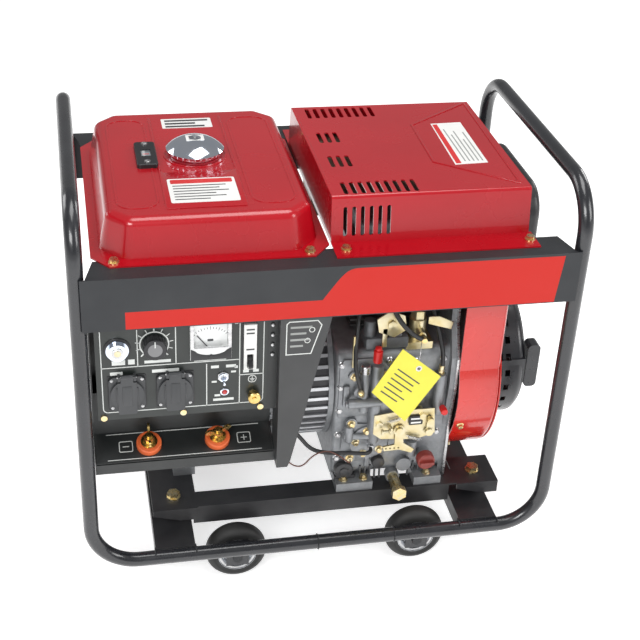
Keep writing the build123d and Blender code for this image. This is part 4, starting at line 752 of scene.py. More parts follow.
class Repeater:
    """Base of the node trees that repeat one small shape at given places."""

    def __init__(self, name: str) -> None:
        """Starts a tree that takes points in and gives geometry out.

        Args:
            name: the tree's name.
        """
        self.tree = bpy.data.node_groups.new(name, "GeometryNodeTree")
        self.tree.interface.new_socket("Places", in_out="INPUT", socket_type="NodeSocketGeometry")
        self.tree.interface.new_socket("Result", in_out="OUTPUT", socket_type="NodeSocketGeometry")
        self.sizes: dict[str, str] = {}
        self.start = self.tree.nodes.new("NodeGroupInput")
        self.end = self.tree.nodes.new("NodeGroupOutput")

    def size(self, name: str, kind: str = "NodeSocketFloat") -> bpy.types.NodeSocket:
        """Adds a named input and returns the socket that gives its value.

        Args:
            name: the input's name.
            kind: the input's socket type.

        Returns:
            The socket inside the tree.
        """
        made = self.tree.interface.new_socket(name, in_out="INPUT", socket_type=kind)
        self.sizes[name] = made.identifier
        return next(s for s in self.start.outputs if s.identifier == made.identifier)

    def node(self, kind: str, **inputs: object) -> bpy.types.Node:
        """Adds a node and links or sets its inputs by name.

        Args:
            kind: the node's type.
            inputs: a socket or value for each input, with _ for a space in its name.

        Returns:
            The new node.
        """
        made = self.tree.nodes.new(kind)
        for name, value in inputs.items():
            target = made.inputs[name.replace("_", " ")]
            if isinstance(value, bpy.types.NodeSocket):
                self.tree.links.new(value, target)
            else:
                target.default_value = value
        return made

    def move(self, geometry: bpy.types.NodeSocket, z: bpy.types.NodeSocket | float) -> bpy.types.NodeSocket:
        """Lifts a shape along its own axis."""
        vector = self.node("ShaderNodeCombineXYZ", Z=z)
        return self.node("GeometryNodeTransform", Geometry=geometry, Translation=vector.outputs[0]).outputs[0]

    def half(self, value: bpy.types.NodeSocket) -> bpy.types.NodeSocket:
        """Returns half of a size.

        Args:
            value: the size.

        Returns:
            Half of it.
        """
        node = self.tree.nodes.new("ShaderNodeMath")
        node.operation = "MULTIPLY"
        self.tree.links.new(value, node.inputs[0])
        node.inputs[1].default_value = 0.5
        return node.outputs[0]

    def put(self, shapes: Sequence[bpy.types.NodeSocket]) -> None:
        """Ends the tree: the joined shapes at every place, turned as its attribute says.

        Args:
            shapes: the geometry that stands at each place.
        """
        join = self.tree.nodes.new("GeometryNodeJoinGeometry")
        for shape in shapes:
            self.tree.links.new(shape, join.inputs[0])
        turn = self.tree.nodes.new("GeometryNodeInputNamedAttribute")
        turn.data_type = "FLOAT_VECTOR"
        turn.inputs["Name"].default_value = "turn"
        rotation = self.tree.nodes.new("FunctionNodeEulerToRotation")
        self.tree.links.new(turn.outputs[0], rotation.inputs[0])
        place = self.node("GeometryNodeInstanceOnPoints", Points=self.start.outputs[0],
                          Instance=join.outputs[0], Rotation=rotation.outputs[0])
        real = self.node("GeometryNodeRealizeInstances", Geometry=place.outputs[0])
        paint = self.node("GeometryNodeSetMaterial", Geometry=real.outputs[0],
                          Material=self.size("Finish", "NodeSocketMaterial"))
        self.tree.links.new(paint.outputs[0], self.end.inputs[0])

    def make(self, name: str, places: Iterable[tuple[Point, Point]], finish: Finish, body: str = ROOT,
             slot: str = "zinc_bolt", **sizes: float) -> bpy.types.Object:
        """Repeats the shape and makes one plain piece of it.

        Args:
            name: the piece's name.
            places: each a point in millimetres and the direction that the shape faces.
            finish: its surface.
            body: the CAD body that carries it.
            slot: the record's material slot; not used.
            sizes: the tree's named sizes, in millimetres, underscores for spaces.

        Returns:
            The piece.
        """
        spots = [(Vector(at) * MM, Vector(way).to_track_quat("Z", "Y").to_euler()) for at, way in places]
        mesh = bpy.data.meshes.new(name)
        mesh.from_pydata([tuple(at) for at, _ in spots], [], [])
        turn = mesh.attributes.new("turn", "FLOAT_VECTOR", "POINT")
        turn.data.foreach_set("vector", [v for _, euler in spots for v in euler])
        carrier = bpy.data.objects.new(name + "_places", mesh)
        bpy.context.scene.collection.objects.link(carrier)
        modifier = carrier.modifiers.new("repeat", "NODES")
        modifier.node_group = self.tree
        for key, value in sizes.items():
            modifier[self.sizes[key.replace("_", " ")]] = value * MM
        modifier[self.sizes["Finish"]] = PAINT.of(finish)
        result = mesh_of(carrier)
        result.name = name
        smooth(result, 35.0)
        piece = bpy.data.objects.new(name, result)
        bpy.context.scene.collection.objects.link(piece)
        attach(piece, body)
        LOG.info("%s: %d places, %d faces", name, len(spots), len(result.polygons))
        return piece


class HexBolts(Repeater):
    """Flanged hexagon heads with a dished top."""

    def __init__(self) -> None:
        """Builds the tree with its flange and head sizes."""
        super().__init__("hexagon bolts")
        wide, thick = self.size("Flange Radius"), self.size("Flange Height")
        head, tall = self.size("Head Radius"), self.size("Head Height")
        flange = self.node("GeometryNodeMeshCone", Vertices=24, Radius_Bottom=wide, Radius_Top=head,
                           Depth=thick)
        hexagon = self.node("GeometryNodeMeshCylinder", Vertices=6, Radius=head, Depth=tall)
        inner = self.node("GeometryNodeMeshCone", Vertices=18, Radius_Bottom=self.scaled(head, 0.8),
                          Radius_Top=self.scaled(head, 0.62), Depth=self.scaled(tall, 0.16))
        base = self.move(hexagon.outputs[0], self.total(self.half(tall), thick))
        top = self.move(inner.outputs[0], self.total(tall, thick))
        self.put([flange.outputs[0], base, top])

    def scaled(self, value: bpy.types.NodeSocket, by: float) -> bpy.types.NodeSocket:
        """Returns a share of a size.

        Args:
            value: the size.
            by: the share.

        Returns:
            The share of it.
        """
        node = self.tree.nodes.new("ShaderNodeMath")
        node.operation = "MULTIPLY"
        self.tree.links.new(value, node.inputs[0])
        node.inputs[1].default_value = by
        return node.outputs[0]

    def total(self, one: bpy.types.NodeSocket, two: bpy.types.NodeSocket) -> bpy.types.NodeSocket:
        """Returns the sum of two sizes.

        Args:
            one: a size.
            two: another size.

        Returns:
            Their sum.
        """
        node = self.tree.nodes.new("ShaderNodeMath")
        self.tree.links.new(one, node.inputs[0])
        self.tree.links.new(two, node.inputs[1])
        return node.outputs[0]


class PanScrews(HexBolts):
    """Pan-head screws: a low round head with a raised cross in it."""

    def __init__(self) -> None:
        """Builds the tree with its head and cross sizes."""
        Repeater.__init__(self, "pan screws")
        head, tall = self.size("Head Radius"), self.size("Head Height")
        disc = self.node("GeometryNodeMeshCylinder", Vertices=20, Radius=head, Depth=tall)
        dome = self.node("GeometryNodeMeshCone", Vertices=20, Radius_Bottom=head,
                         Radius_Top=self.scaled(head, 0.6), Depth=self.scaled(tall, 0.5))
        arms = []
        for wide, deep in ((1.0, 0.24), (0.24, 1.0)):
            size = self.node("ShaderNodeCombineXYZ", X=self.scaled(head, wide), Y=self.scaled(head, deep),
                             Z=self.scaled(tall, 0.3))
            arm = self.node("GeometryNodeMeshCube", Size=size.outputs[0])
            arms.append(self.move(arm.outputs[0], self.scaled(tall, 1.08)))
        self.put([disc.outputs[0], self.move(dome.outputs[0], self.half(tall)), *arms])


class Slats(Repeater):
    """Flat bars with set width, depth and height."""

    def __init__(self) -> None:
        """Builds the tree with the bar's three sizes."""
        super().__init__("slats")
        size = self.node("ShaderNodeCombineXYZ", X=self.size("Width"), Y=self.size("Depth"),
                         Z=self.size("Height"))
        bar = self.node("GeometryNodeMeshCube", Size=size.outputs[0])
        self.put([bar.outputs[0]])


class Ripples(Repeater):
    """Weld ripples: low lumps that run into each other."""

    def __init__(self) -> None:
        """Builds the tree with the lump's radius."""
        super().__init__("weld ripples")
        lump = self.node("GeometryNodeMeshUVSphere", Segments=10, Rings=6, Radius=self.size("Radius"))
        flat = self.node("GeometryNodeTransform", Geometry=lump.outputs[0], Scale=(1.0, 0.7, 0.6))
        self.put([flat.outputs[0]])


# ---------------------------------------------------------------- sub-assemblies


@dataclass
class TopCovers:
    """Fine shapes and labels on the tank, its cap and gauge, and the silencer cover."""

    tank_top: float = 616.0
    cover_top: float = 628.5
    band: Pair = (-221.0, -113.0)
    cap: Pair = (-165.0, 16.0)
    gauge: Pair = (-236.0, 14.0)

    def tank_pressings(self) -> None:
        """Raises the tank's centre band and the shoulder either side of it."""
        top = self.tank_top
        maker = Maker()
        left, right = self.band
        strip = [(left, -38), (left + 6, -44), (right - 6, -44), (right, -38), (right, -157), (left, -157)]
        maker.sheet(strip, (top - 0.5, top + 1.6), Axis.Z, bevel=1.2)
        for x in (left, right):
            maker.pipe([(x, -158, top - 1.6), (x, -150, top - 0.2), (x, -90, top - 0.2), (x, 0, top - 0.2),
                        (x, 90, top - 0.2), (x, 150, top - 0.2), (x, 158, top - 1.6)], 1.9)
        for low, high in (((-288, -152), (left - 8, 152)), ((right + 8, -152), (-41, 152))):
            outer = rounded(low, high, 24)
            inner = rounded((low[0] + 3.2, low[1] + 3.2), (high[0] - 3.2, high[1] - 3.2), 21)
            maker.sheet(outer, (top - 0.5, top + 0.8), Axis.Z, 0.5, hole=inner)
        maker.sheet(circle(self.cap, 46.0, 48), (top - 0.4, top + 1.2), Axis.Z, 0.6,
                    hole=circle(self.cap, 43.4, 48))
        maker.finish("tank_pressings", CRIMSON, slot="red_gloss")

    def tank_labels(self) -> None:
        """Lays the white label with its red header and the small dark label on the tank."""
        film, red, ink = Maker(), Maker(), Maker()
        top = self.tank_top + 1.6
        film.sheet(rounded((-214, -143), (-120, -68), 3), (top - 0.1, top + 0.25), Axis.Z)
        red.sheet(rounded((-210, -84), (-124, -71), 2), (top + 0.2, top + 0.4), Axis.Z)
        ends = (0.92, 0.8, 0.95, 0.72, 0.88, 0.6)
        for row, share in enumerate(ends):
            y = -91 - row * 8.4
            ink.block((-208, y - 1.3, top + 0.2), (-208 + 80 * share, y + 1.3, top + 0.36))
        low = self.tank_top
        film.sheet(rounded((-203, 115), (-127, 151), 2), (low - 0.1, low + 0.25), Axis.Z)
        for row, share in enumerate((1.0, 0.7, 0.9)):
            y = 143 - row * 11
            ink.block((-198, y - 3, low + 0.2), (-198 + 66 * share, y + 3, low + 0.36))
        film.finish("tank_label_film", LABEL_WHITE, slot="plastic_white")
        red.finish("tank_label_header", LABEL_RED, slot="plastic_red")
        ink.finish("tank_label_bars", BLACK_INK_AND_PAINTED_SHADE, slot="plastic_black")

    def cap_details(self) -> None:
        """Puts the sticker with its bars and the pressed ring on the cap."""
        x, y = self.cap
        sticker, ring = Maker(), Maker()
        sticker.sheet(rounded((x - 13, y - 10), (x + 13, y + 10), 2), (641.6, 642.6), Axis.Z, 0.1)
        ring.spun([(24.0, 634.6), (26.4, 636.3), (28.2, 635.2), (28.2, 632.0), (24.0, 632.0)], (x, y, 0),
                  (0, 0, 1))
        sticker.finish("cap_sticker", LABEL_WHITE, "cap", "plastic_white")
        ring.finish("cap_pressed_ring", CHROME, "cap", "chrome_cap")
        ink = Maker()
        for row in range(3):
            ink.block((x - 9, y - 6.4 + row * 5, 642.5), (x + 8 - row * 4, y - 4.6 + row * 5, 642.75))
        ink.finish("cap_sticker_bars", BLACK_INK_AND_PAINTED_SHADE, "cap", "plastic_black")

    def gauge_details(self) -> None:
        """Fits the gauge's window, scale, pointer and screws."""
        x, y = self.gauge
        glass, scale, red = Maker(), Maker(), Maker()
        glass.sheet(rounded((x - 6.8, y - 10.8), (x + 6.8, y + 10.8), 1.5), (620.8, 621.8), Axis.Z, 0.2)
        for step in range(5):
            scale.block((x - 5, y - 8.4 + step * 4, 621.7), (x - 1, y - 7.6 + step * 4, 622.0))
        red.block((x - 4.5, y - 3, 621.75), (x + 4.5, y - 1.8, 622.1))
        glass.finish("gauge_window", GAUGE_GLASS, slot="plastic_grey")
        scale.finish("gauge_scale", LABEL_WHITE, slot="plastic_white")
        red.finish("gauge_pointer", LABEL_RED, slot="plastic_red")
        SCREWS.make("gauge_screws", [((x, y + s * 31, 623.4), (0, 0, 1)) for s in (-1, 1)], STEEL,
                    Head_Radius=4.6, Head_Height=2.0)

    def cover_details(self) -> None:
        """Presses the border into the cover's top and lays its label."""
        top = self.cover_top
        edge = [(279, 148), (170, 66), (167, -72), (274, -156)]
        maker = Maker()
        inner = [(276, 139.5), (173.4, 62.6), (170.6, -69), (271, -147.6)]
        maker.sheet(edge, (top - 0.6, top + 1.1), Axis.Z, 0.8, hole=inner)
        maker.pipe([(3, -163, top - 1.4), (3, -60, top - 1.0), (3, 60, top - 1.0), (3, 149, top - 1.4)], 1.6)
        maker.finish("cover_pressed_border", CRIMSON, slot="red_gloss")
        film, red, ink = Maker(), Maker(), Maker()
        corners = [(202, 66), (250, 68), (248, -81), (198, -84)]
        film.sheet(corners, (top - 0.1, top + 0.25), Axis.Z)
        red.sheet([(203.5, 62), (211, 62.4), (208.5, -80), (200.5, -80.4)], (top + 0.2, top + 0.38), Axis.Z)
        for row, share in enumerate((0.9, 0.74, 0.84, 0.6, 0.8)):
            x = 216 + row * 6.6
            ink.block((x - 1, -74, top + 0.2), (x + 1, -74 + 130 * share, top + 0.36))
        film.finish("cover_label_film", LABEL_WHITE, slot="plastic_white")
        red.finish("cover_label_stripe", LABEL_RED, slot="plastic_red")
        ink.finish("cover_label_bars", PRINT_GREY, slot="plastic_black")

    def build(self) -> None:
        """Builds the tank's and the cover's fine shapes."""
        self.tank_pressings()
        self.tank_labels()
        self.cap_details()
        self.gauge_details()
        self.cover_details()


@dataclass
class PanelPrint:
    """Lines, boxes and marks printed on the control panel, the terminal shelf and the side plate."""

    face: float = PANEL_FACE
    thick: float = 0.16
    line: float = 1.3

    def bar(self, maker: Maker, low: Pair, high: Pair) -> None:
        """Prints one bar on the panel face."""
        maker.block((low[0], self.face - self.thick, low[1]), (high[0], self.face + 0.1, high[1]))

    def frame(self, maker: Maker, low: Pair, high: Pair, radius: float, wide: float) -> None:
        """Prints a rounded frame on the panel face."""
        inner = rounded((low[0] + wide, low[1] + wide), (high[0] - wide, high[1] - wide),
                        max(0.4, radius - wide))
        maker.sheet(rounded(low, high, radius), (self.face - self.thick, self.face + 0.1), Axis.Y, hole=inner)

    def lines(self) -> None:
        """Prints the frames round each group of devices."""
        ink, half = Maker(), self.line / 2
        self.frame(ink, (-321, 338), (-97, 492), 7, self.line)
        for x, low, high in ((-271, 412, 491), (-219, 412, 491), (-131, 385, 491), (-177, 338, 408),
                             (-131, 338, 386)):
            self.bar(ink, (x - half, low), (x + half, high))
        self.bar(ink, (-321, 411.4), (-131, 412.7))
        self.bar(ink, (-131, 385.4), (-97, 386.7))
        ink.finish("panel_lines", PRINT_WHITE, slot="plastic_white")

    def marks(self) -> None:
        """Prints the label boxes as small plain bars, the ground sign and the knob's scale."""
        ink = Maker()
        boxes = ((-306, 416, -288, 424), (-284, 416, -275, 424), (-262, 416, -226, 420.5),
                 (-265, 474, -255, 478), (-245, 474, -228, 478), (-309, 400, -292, 405),
                 (-252, 400, -215, 405), (-171, 400, -160, 404.5), (-150, 400, -136, 404.5),
                 (-168, 345, -139, 349), (-166, 352.5, -158, 356), (-126, 474, -104, 479),
                 (-138, 470, -133.5, 474), (-138, 398, -133.5, 402), (-194, 413.5, -150, 416.5),
                 (-126, 389.5, -118, 394), (-112, 389.5, -104, 394), (-170, 376, -163, 379),
                 (-143, 391, -136, 394))
        for x0, z0, x1, z1 in boxes:
            self.bar(ink, (x0, z0), (x1, z1))
        x, z = -113, 378
        self.frame(ink, (x - 6, z - 6), (x + 6, z + 6), 5.6, 1.0)
        self.bar(ink, (x - 0.5, z), (x + 0.5, z + 4))
        for step, half in enumerate((3.6, 2.4, 1.2)):
            self.bar(ink, (x - half, z - 0.4 - step * 1.7), (x + half, z + 0.4 - step * 1.7))
        kx, kz = -248, 446
        for step in range(11):
            turn = math.radians(225 - step * 27)
            spin = Matrix.Rotation(turn, 4, "Y")
            wide = 1.2 if step % 5 else 2.0
            at = (kx + 23.4 * math.cos(turn), self.face, kz + 23.4 * math.sin(turn))
            low = (at[0] - 2.6, self.face - self.thick, at[2] - wide / 2)
            high = (at[0] + 2.6, self.face + 0.1, at[2] + wide / 2)
            ink.block(low, high, turn=spin.inverted())
        ink.finish("panel_marks", PRINT_WHITE, slot="plastic_white")
        arc = Maker()
        outer = [(kx + 20.4 * math.cos(math.radians(a)), kz + 20.4 * math.sin(math.radians(a)))
                 for a in range(-50, 231, 8)]
        inner = [(kx + 18.6 * math.cos(math.radians(a)), kz + 18.6 * math.sin(math.radians(a)))
                 for a in range(230, -51, -8)]
        arc.sheet(outer + inner, (self.face - self.thick, self.face + 0.1), Axis.Y)
        arc.finish("knob_scale_arc", PRINT_WHITE, slot="plastic_white")

    def shelf(self) -> None:
        """Prints the terminal shelf's edge lines and its minus and plus signs."""
        frame = Matrix.Translation((0, -196.0, 258.75)) @ Matrix.Rotation(math.atan2(19.5, 46.0), 4, "X")
        ink = Maker()
        levels = (-0.06, 0.18)
        for y in (-21.5, 21.0):
            ink.sheet([(-318, y), (-96, y), (-96, y + 1.1), (-318, y + 1.1)], levels, Axis.Z, frame=frame)
        for x, signs in ((-291, ((9, 1.3),)), (-120, ((9, 1.3), (1.3, 9)))):
            ink.sheet(rounded((x - 10, -9), (x + 10, 9), 2.5), levels, Axis.Z,
                      hole=rounded((x - 8.8, -7.8), (x + 8.8, 7.8), 1.6), frame=frame)
            for wide, tall in signs:
                ink.sheet([(x - wide / 2, -tall / 2), (x + wide / 2, -tall / 2), (x + wide / 2, tall / 2),
                           (x - wide / 2, tall / 2)], levels, Axis.Z, frame=frame)
        ink.finish("terminal_shelf_signs", PRINT_WHITE, slot="plastic_white")

    def side_label(self) -> None:
        """Prints the outlined label on the side plate."""
        ink, grey = Maker(), Maker()
        y = (-238.2, -237.9)
        outer = [(-70, 424), (-34, 424), (-20, 470), (-26, 478), (-66, 478), (-70, 474)]
        inner = [(-68.6, 425.4), (-35, 425.4), (-21.6, 469.6), (-26.6, 476.6), (-65.4, 476.6), (-68.6, 473.4)]
        ink.sheet(outer, y, Axis.Y, hole=inner)
        for row, (start, share) in enumerate(((-64, 30), (-64, 22), (-64, 26), (-64, 18))):
            z = 468 - row * 10
            grey.block((start, y[0], z - 1.6), (start + share, y[1], z + 1.6))
        for x, z in ((-34, 463), (-40, 446)):
            ink.sheet(circle((x, z), 4.2, 24), y, Axis.Y, hole=circle((x, z), 3.2, 24))
        ink.finish("side_label_outline", PRINT_WHITE, slot="plastic_white")
        grey.finish("side_label_bars", PRINT_GREY, slot="plastic_grey")

    def build(self) -> None:
        """Prints every panel."""
        self.lines()
        self.marks()
        self.shelf()
        self.side_label()


@dataclass
class PanelDevices:
    """Faces, bezels, collars and screws of the devices on the control panel."""

    face: float = PANEL_FACE
    meter: tuple[float, float, float, float] = (-200.0, -143.0, 419.0, 481.0)
    sockets: tuple[Pair, Pair] = ((-287.0, 371.0), (-221.0, 371.0))

    def meter_face(self) -> None:
        """Gives the meter a bright bezel, a white dial with its scale, and a black scalloped foot."""
        x0, x1, z0, z1 = self.meter
        y = self.face - 7
        foot, dial, scale, bezel = Maker(), Maker(), Maker(), Maker()
        mid = (x0 + x1) / 2
        scallop = [(x0 + 0.6, z0 + 0.6), (x1 - 0.6, z0 + 0.6), (x1 - 0.6, z0 + 18.6)]
        scallop += [(mid + 22 * math.cos(math.radians(a)), z0 + 17 - 9 * math.sin(math.radians(a)))
                    for a in range(12, 169, 12)]
        scallop += [(x0 + 0.6, z0 + 18.6)]
        foot.sheet(scallop, (y - 0.9, y + 0.4), Axis.Y, 0.3)
        foot.rod((mid, y - 2.2, z0 + 6), (mid, y, z0 + 6), 3.2, 24, 0.4)
        outer = rounded((x0 + 0.4, z0 + 18), (x1 - 0.4, z1 - 0.4), 3)
        inner = rounded((x0 + 5, z0 + 20.4), (x1 - 5, z1 - 5), 1.2)
        bezel.sheet(outer, (y - 0.8, y + 0.4), Axis.Y, 0.4, hole=inner)
        dial.block((x0 + 5.2, self.face + 1.4, z0 + 7), (x1 - 5.2, self.face + 3.6, z1 - 5.2))
        pivot = (mid, z0 + 12)
        for step in range(13):
            turn = math.radians(132 - step * 7)
            length = 5.0 if step % 3 == 0 else 3.0
            at = (pivot[0] + 34 * math.cos(turn), self.face + 1.35, pivot[1] + 34 * math.sin(turn))
            scale.block((at[0] - length / 2, at[1] - 0.1, at[2] - 0.35),
                        (at[0] + length / 2, at[1] + 0.1, at[2] + 0.35), turn=Matrix.Rotation(-turn, 4, "Y"))
        scale.block((mid - 4, self.face + 1.2, z0 + 25), (mid + 4, self.face + 1.5, z0 + 28.6))
        foot.finish("meter_foot", BLACK_PLASTIC)
        bezel.finish("meter_bezel", STEEL, slot="plastic_grey")
        dial.finish("meter_dial", METER_GLASS, slot="plastic_white")
        scale.finish("meter_scale", BLACK_INK_AND_PAINTED_SHADE)

    def knob_and_key(self) -> None:
        """Fits the knob's grey disc and pointer, the key switch's ring and the key barrel's face."""
        disc, pointer, ring, key = Maker(), Maker(), Maker(), Maker()
        y, (kx, kz) = self.face - 17, (-248.0, 446.0)
        disc.spun([(0.01, 0.3), (9.6, 0.3), (10.4, -0.4), (10.4, -1.0), (0.01, -1.0)], (kx, y, kz),
                  (0, -1, 0))
        pointer.block((kx - 0.7, y - 0.5, kz + 4.4), (kx + 0.7, y + 0.6, kz + 13.6), 0.2)
        disc.finish("knob_disc", GREY_PLASTIC, "knob", "plastic_grey")
        pointer.finish("knob_pointer", PRINT_WHITE, "knob", "plastic_white")
        sx, sz = -298.0, 441.0
        ring.spun([(15.7, 0.0), (18.6, 0.0), (18.6, 1.2), (17.4, 2.0), (15.7, 2.0)], (sx, self.face, sz),
                  (0, -1, 0))
        ring.finish("key_switch_bezel", BLACK_PLASTIC)
        key.spun([(0.01, 11.0), (4.6, 11.0), (4.6, 11.5), (0.01, 11.5)], (sx, self.face, sz), (0, -1, 0), 28)
        key.finish("key_barrel_face", BRACKET_ZINC, "key_plug", "steel")

    def socket_details(self) -> None:
        """Adds the lids' raised strips, the hinge pins and the screws in the socket ears."""
        for (x, z), body in zip(self.sockets, ("left_lid", "right_lid")):
            strip, pin = Maker(), Maker()
            strip.block((x - 6.5, -230.9, z - 17), (x + 6.5, -229.4, z + 15), 0.6)
            for side in (-1, 1):
                strip.block((x + side * 14 - 1.2, -229.8, z - 12), (x + side * 14 + 1.2, -228.6, z + 12), 0.4)
            strip.finish(f"{body}_strip", DARK_PLASTIC, body)
            pin.rod((x - 13.4, -228.0, z + 29), (x + 13.4, -228.0, z + 29), 1.3, 16, 0.2)
            pin.finish(f"{body}_pin", STEEL, ROOT, "steel")
        ears = [((x + dx, self.face - 3.9, z + dz), (0, -1, 0)) for x, z in self.sockets
                for dx in (-20.5, 20.5) for dz in (-22.5, 22.5)]
        SCREWS.make("socket_screws", ears, STEEL, Head_Radius=2.3, Head_Height=1.2)
        plate = Maker()
        for x, z in self.sockets:
            plate.sheet(rounded((x - 26.5, z - 28.6), (x + 26.5, z + 28.6), 3),
                        (self.face - 1.0, self.face + 0.1), Axis.Y, 0.3,
                        hole=rounded((x - 24.9, z - 26.9), (x + 24.9, z + 26.9), 3))
        plate.finish("socket_gaskets", BLACK_PLASTIC)

    def small_devices(self) -> None:
        """Adds the toggle's hexagon nut, the oil lamp, the breaker's marks and surround, and the control
        box's screws.
        """
        nut, lamp, ring, marks = Maker(), Maker(), Maker(), Maker()
        tx, tz = -154.0, 386.0
        nut.rod((tx, self.face - 0.1, tz), (tx, self.face - 2.2, tz), 8.4, 6, 0.4)
        nut.finish("toggle_nut", STEEL, slot="steel")
        lamp.spun([(0.01, 4.2), (2.6, 3.4), (4.0, 1.4), (4.0, 0.0), (0.01, 0.0)], (-152, self.face, 360),
                  (0, -1, 0), 28)
        ring.spun([(4.1, 0.0), (6.2, 0.0), (6.2, 1.2), (4.9, 2.0), (4.1, 2.0)], (-152, self.face, 360),
                  (0, -1, 0), 32)
        lamp.finish("oil_lamp_lens", LAMP_RED, slot="plastic_red")
        ring.finish("oil_lamp_ring", CHROME, slot="steel")
        for z in (462.0, 456.0, 430.0):
            marks.block((-122.6, self.face - 5.2, z - 1.2), (-111.4, self.face - 4.9, z + 1.2))
        marks.finish("breaker_marks", BLACK_INK_AND_PAINTED_SHADE)
        frame = Maker()
        frame.sheet(rounded((-128.2, 394.6), (-105.8, 472.4), 2), (self.face - 1.1, self.face + 0.1), Axis.Y,
                    0.3, hole=rounded((-126.4, 396.6), (-107.6, 470.4), 1))
        frame.finish("breaker_surround", BLACK_PLASTIC)
        SCREWS.make("control_box_screws", [((-85, -221.0, z), (0, -1, 0)) for z in (416, 432, 448, 464)],
                    STEEL, Head_Radius=2.6, Head_Height=1.2)

    def build(self) -> None:
        """Builds the devices' faces and fittings."""
        self.meter_face()
        self.knob_and_key()
        self.socket_details()
        self.small_devices()


@dataclass
class EngineFittings:
    """Bolts, pipes, springs and small levers on the front of the engine and round the head."""

    face: float = -147.0

    def bolts(self) -> None:
        """Sets bolts in the crankcase bosses, along the flange and round the timing bulge."""
        front = (0, -1, 0)
        bosses = ((52, 322, 8), (52, 236, 8), (52, 172, 9), (98, 322, 8), (160, 300, 8), (176, 236, 8))
        spots = [((x, self.face - h - 0.1, z), front) for x, z, h in bosses]
        spots += [((82 + 22 * math.cos(math.radians(a)), self.face - 7.1,
                    198 + 22 * math.sin(math.radians(a))), front) for a in (30, 102, 174, 246, 318)]
        HEXES.make("crankcase_bolts", spots, YELLOW_ZINC, slot="zinc_bolt", Flange_Radius=6.4,
                   Flange_Height=1.2, Head_Radius=4.6, Head_Height=4.0)
        small = [((x, self.face - 0.1, z), front) for x,
                 z in ((33, 340), (33, 300), (33, 258), (33, 212), (33, 168), (190, 340), (190, 204),
                       (106, 343), (146, 338))]
        HEXES.make("case_cover_bolts", small, STEEL, slot="steel", Flange_Radius=5.6, Flange_Height=1.0,
                   Head_Radius=4.2, Head_Height=3.4)

    def castings(self) -> None:
        """Adds the cast covers, ribs and webs that break up the crankcase front."""
        cast, dark = Maker(), Maker()
        y = self.face
        cover = [(38, 186), (62, 160), (104, 160), (112, 184), (104, 226), (60, 232), (40, 220)]
        cast.sheet(cover, (y - 3.2, y + 0.5), Axis.Y, 1.0)
        cast.sheet([(30, 246), (92, 246), (108, 268), (108, 330), (92, 350), (36, 350), (30, 336)],
                   (y - 3.6, y + 0.5), Axis.Y, 1.2)
        cast.rod((87, y - 8, 200), (87, y - 8, 342), 9.5, 32, 3)
        cast.rod((42, y - 17, 280), (94, y - 17, 280), 7.5, 28, 1.6)
        cast.rod((38, y - 17, 280), (43, y - 17, 280), 5.2, 6, 0.5)
        cast.block((36, y - 9, 268), (46, y - 1, 306), 2.5)
        cast.rod((62, y - 14, 296), (62, y, 296), 11, 32, 1.5)
        cast.rod((62, y - 19, 296), (62, y - 13, 296), 6.5, 6, 0.6)
        cast.rod((40, y - 8, 214), (96, y - 8, 208), 5.5, 24, 1.2)
        cast.rod((48, y - 10, 206), (48, y - 10, 234), 7, 24, 1.5)
        cast.block((120, y - 6, 262), (166, y + 0.5, 318), 3)
        cast.rod((186, y - 9, 246), (186, y - 9, 318), 8.5, 28, 2)
        cast.rod((150, y - 9, 168), (150, y - 9, 196), 8, 28, 1.5)
        dark.rod((44, y - 12, 148), (44, y - 0.5, 148), 15, 36, 2)
        dark.rod((44, y - 13.5, 148), (44, y - 11, 148), 8, 6, 0.5)
        dark.block((30, y - 8, 124), (64, y - 0.5, 136), 2)
        dark.rod((98, y - 14, 160), (98, y, 160), 10, 30, 1.2)
        cast.finish("crankcase_covers", CAST_ALLOY, slot="cast_alloy")
        dark.finish("crankcase_caps", SATIN_BLACK, slot="cast_alloy")
        SLATS.make("crankcase_ribs", [((x, y - 0.6, 248), (0, 0, 1)) for x in (121, 129, 137, 145, 153)],
                   CAST_ALLOY, slot="cast_alloy", Width=2.2, Depth=5.0, Height=24.0)
        ribs = (72, 80, 88, 96, 104, 150, 158, 166, 188)
        SLATS.make("base_ribs", [((x, y - 0.8, 136), (0, 0, 1)) for x in ribs], DARK_ALLOY,
                   slot="cast_alloy", Width=2.4, Depth=4.4, Height=26.0)

    def pipes(self) -> None:
        """Runs the injection pipe, the fuel hoses, the breather and their unions."""
        steel, hose, union = Maker(), Maker(), Maker()
        steel.pipe([(150, -129, 427), (150, -129, 446), (150, -140, 466), (146, -128, 486), (134, -100, 500),
                    (126, -80, 512)], 2.6)
        hose.pipe([(150, -157, 388), (150, -168, 388), (134, -172, 398), (112, -168, 420), (96, -150, 452),
                   (84, -120, 480), (66, -96, 496)], 3.6)
        hose.pipe([(62, -166, 296), (56, -172, 318), (48, -168, 350), (52, -150, 392), (62, -124, 430)], 3.2)
        hose.pipe([(186, -156, 318), (188, -158, 344), (180, -152, 380), (172, -134, 416)], 3.4)
        for at, way in (((150, -157, 388), (0, -8, 0)), ((62, -166, 296), (-2, -5, 6)),
                        ((186, -156, 318), (0, 0, 8))):
            spot = Vector(at)
            union.rod(spot, spot + Vector(way), 4.8, 6, 0.3)
            union.rod(spot + Vector(way) * 0.9, spot + Vector(way) * 1.9, 4.4, 20, 0.3)
        union.rod((150, -129, 428), (150, -129, 436), 6.2, 6, 0.4)
        union.rod((127, -82, 508), (125, -78, 516), 6.0, 6, 0.4)
        steel.finish("injection_pipe", STEEL, slot="steel")
        hose.finish("fuel_hoses", CLEAR_HOSE, slot="rubber_black")
        union.finish("pipe_unions", YELLOW_ZINC, slot="zinc_bolt")

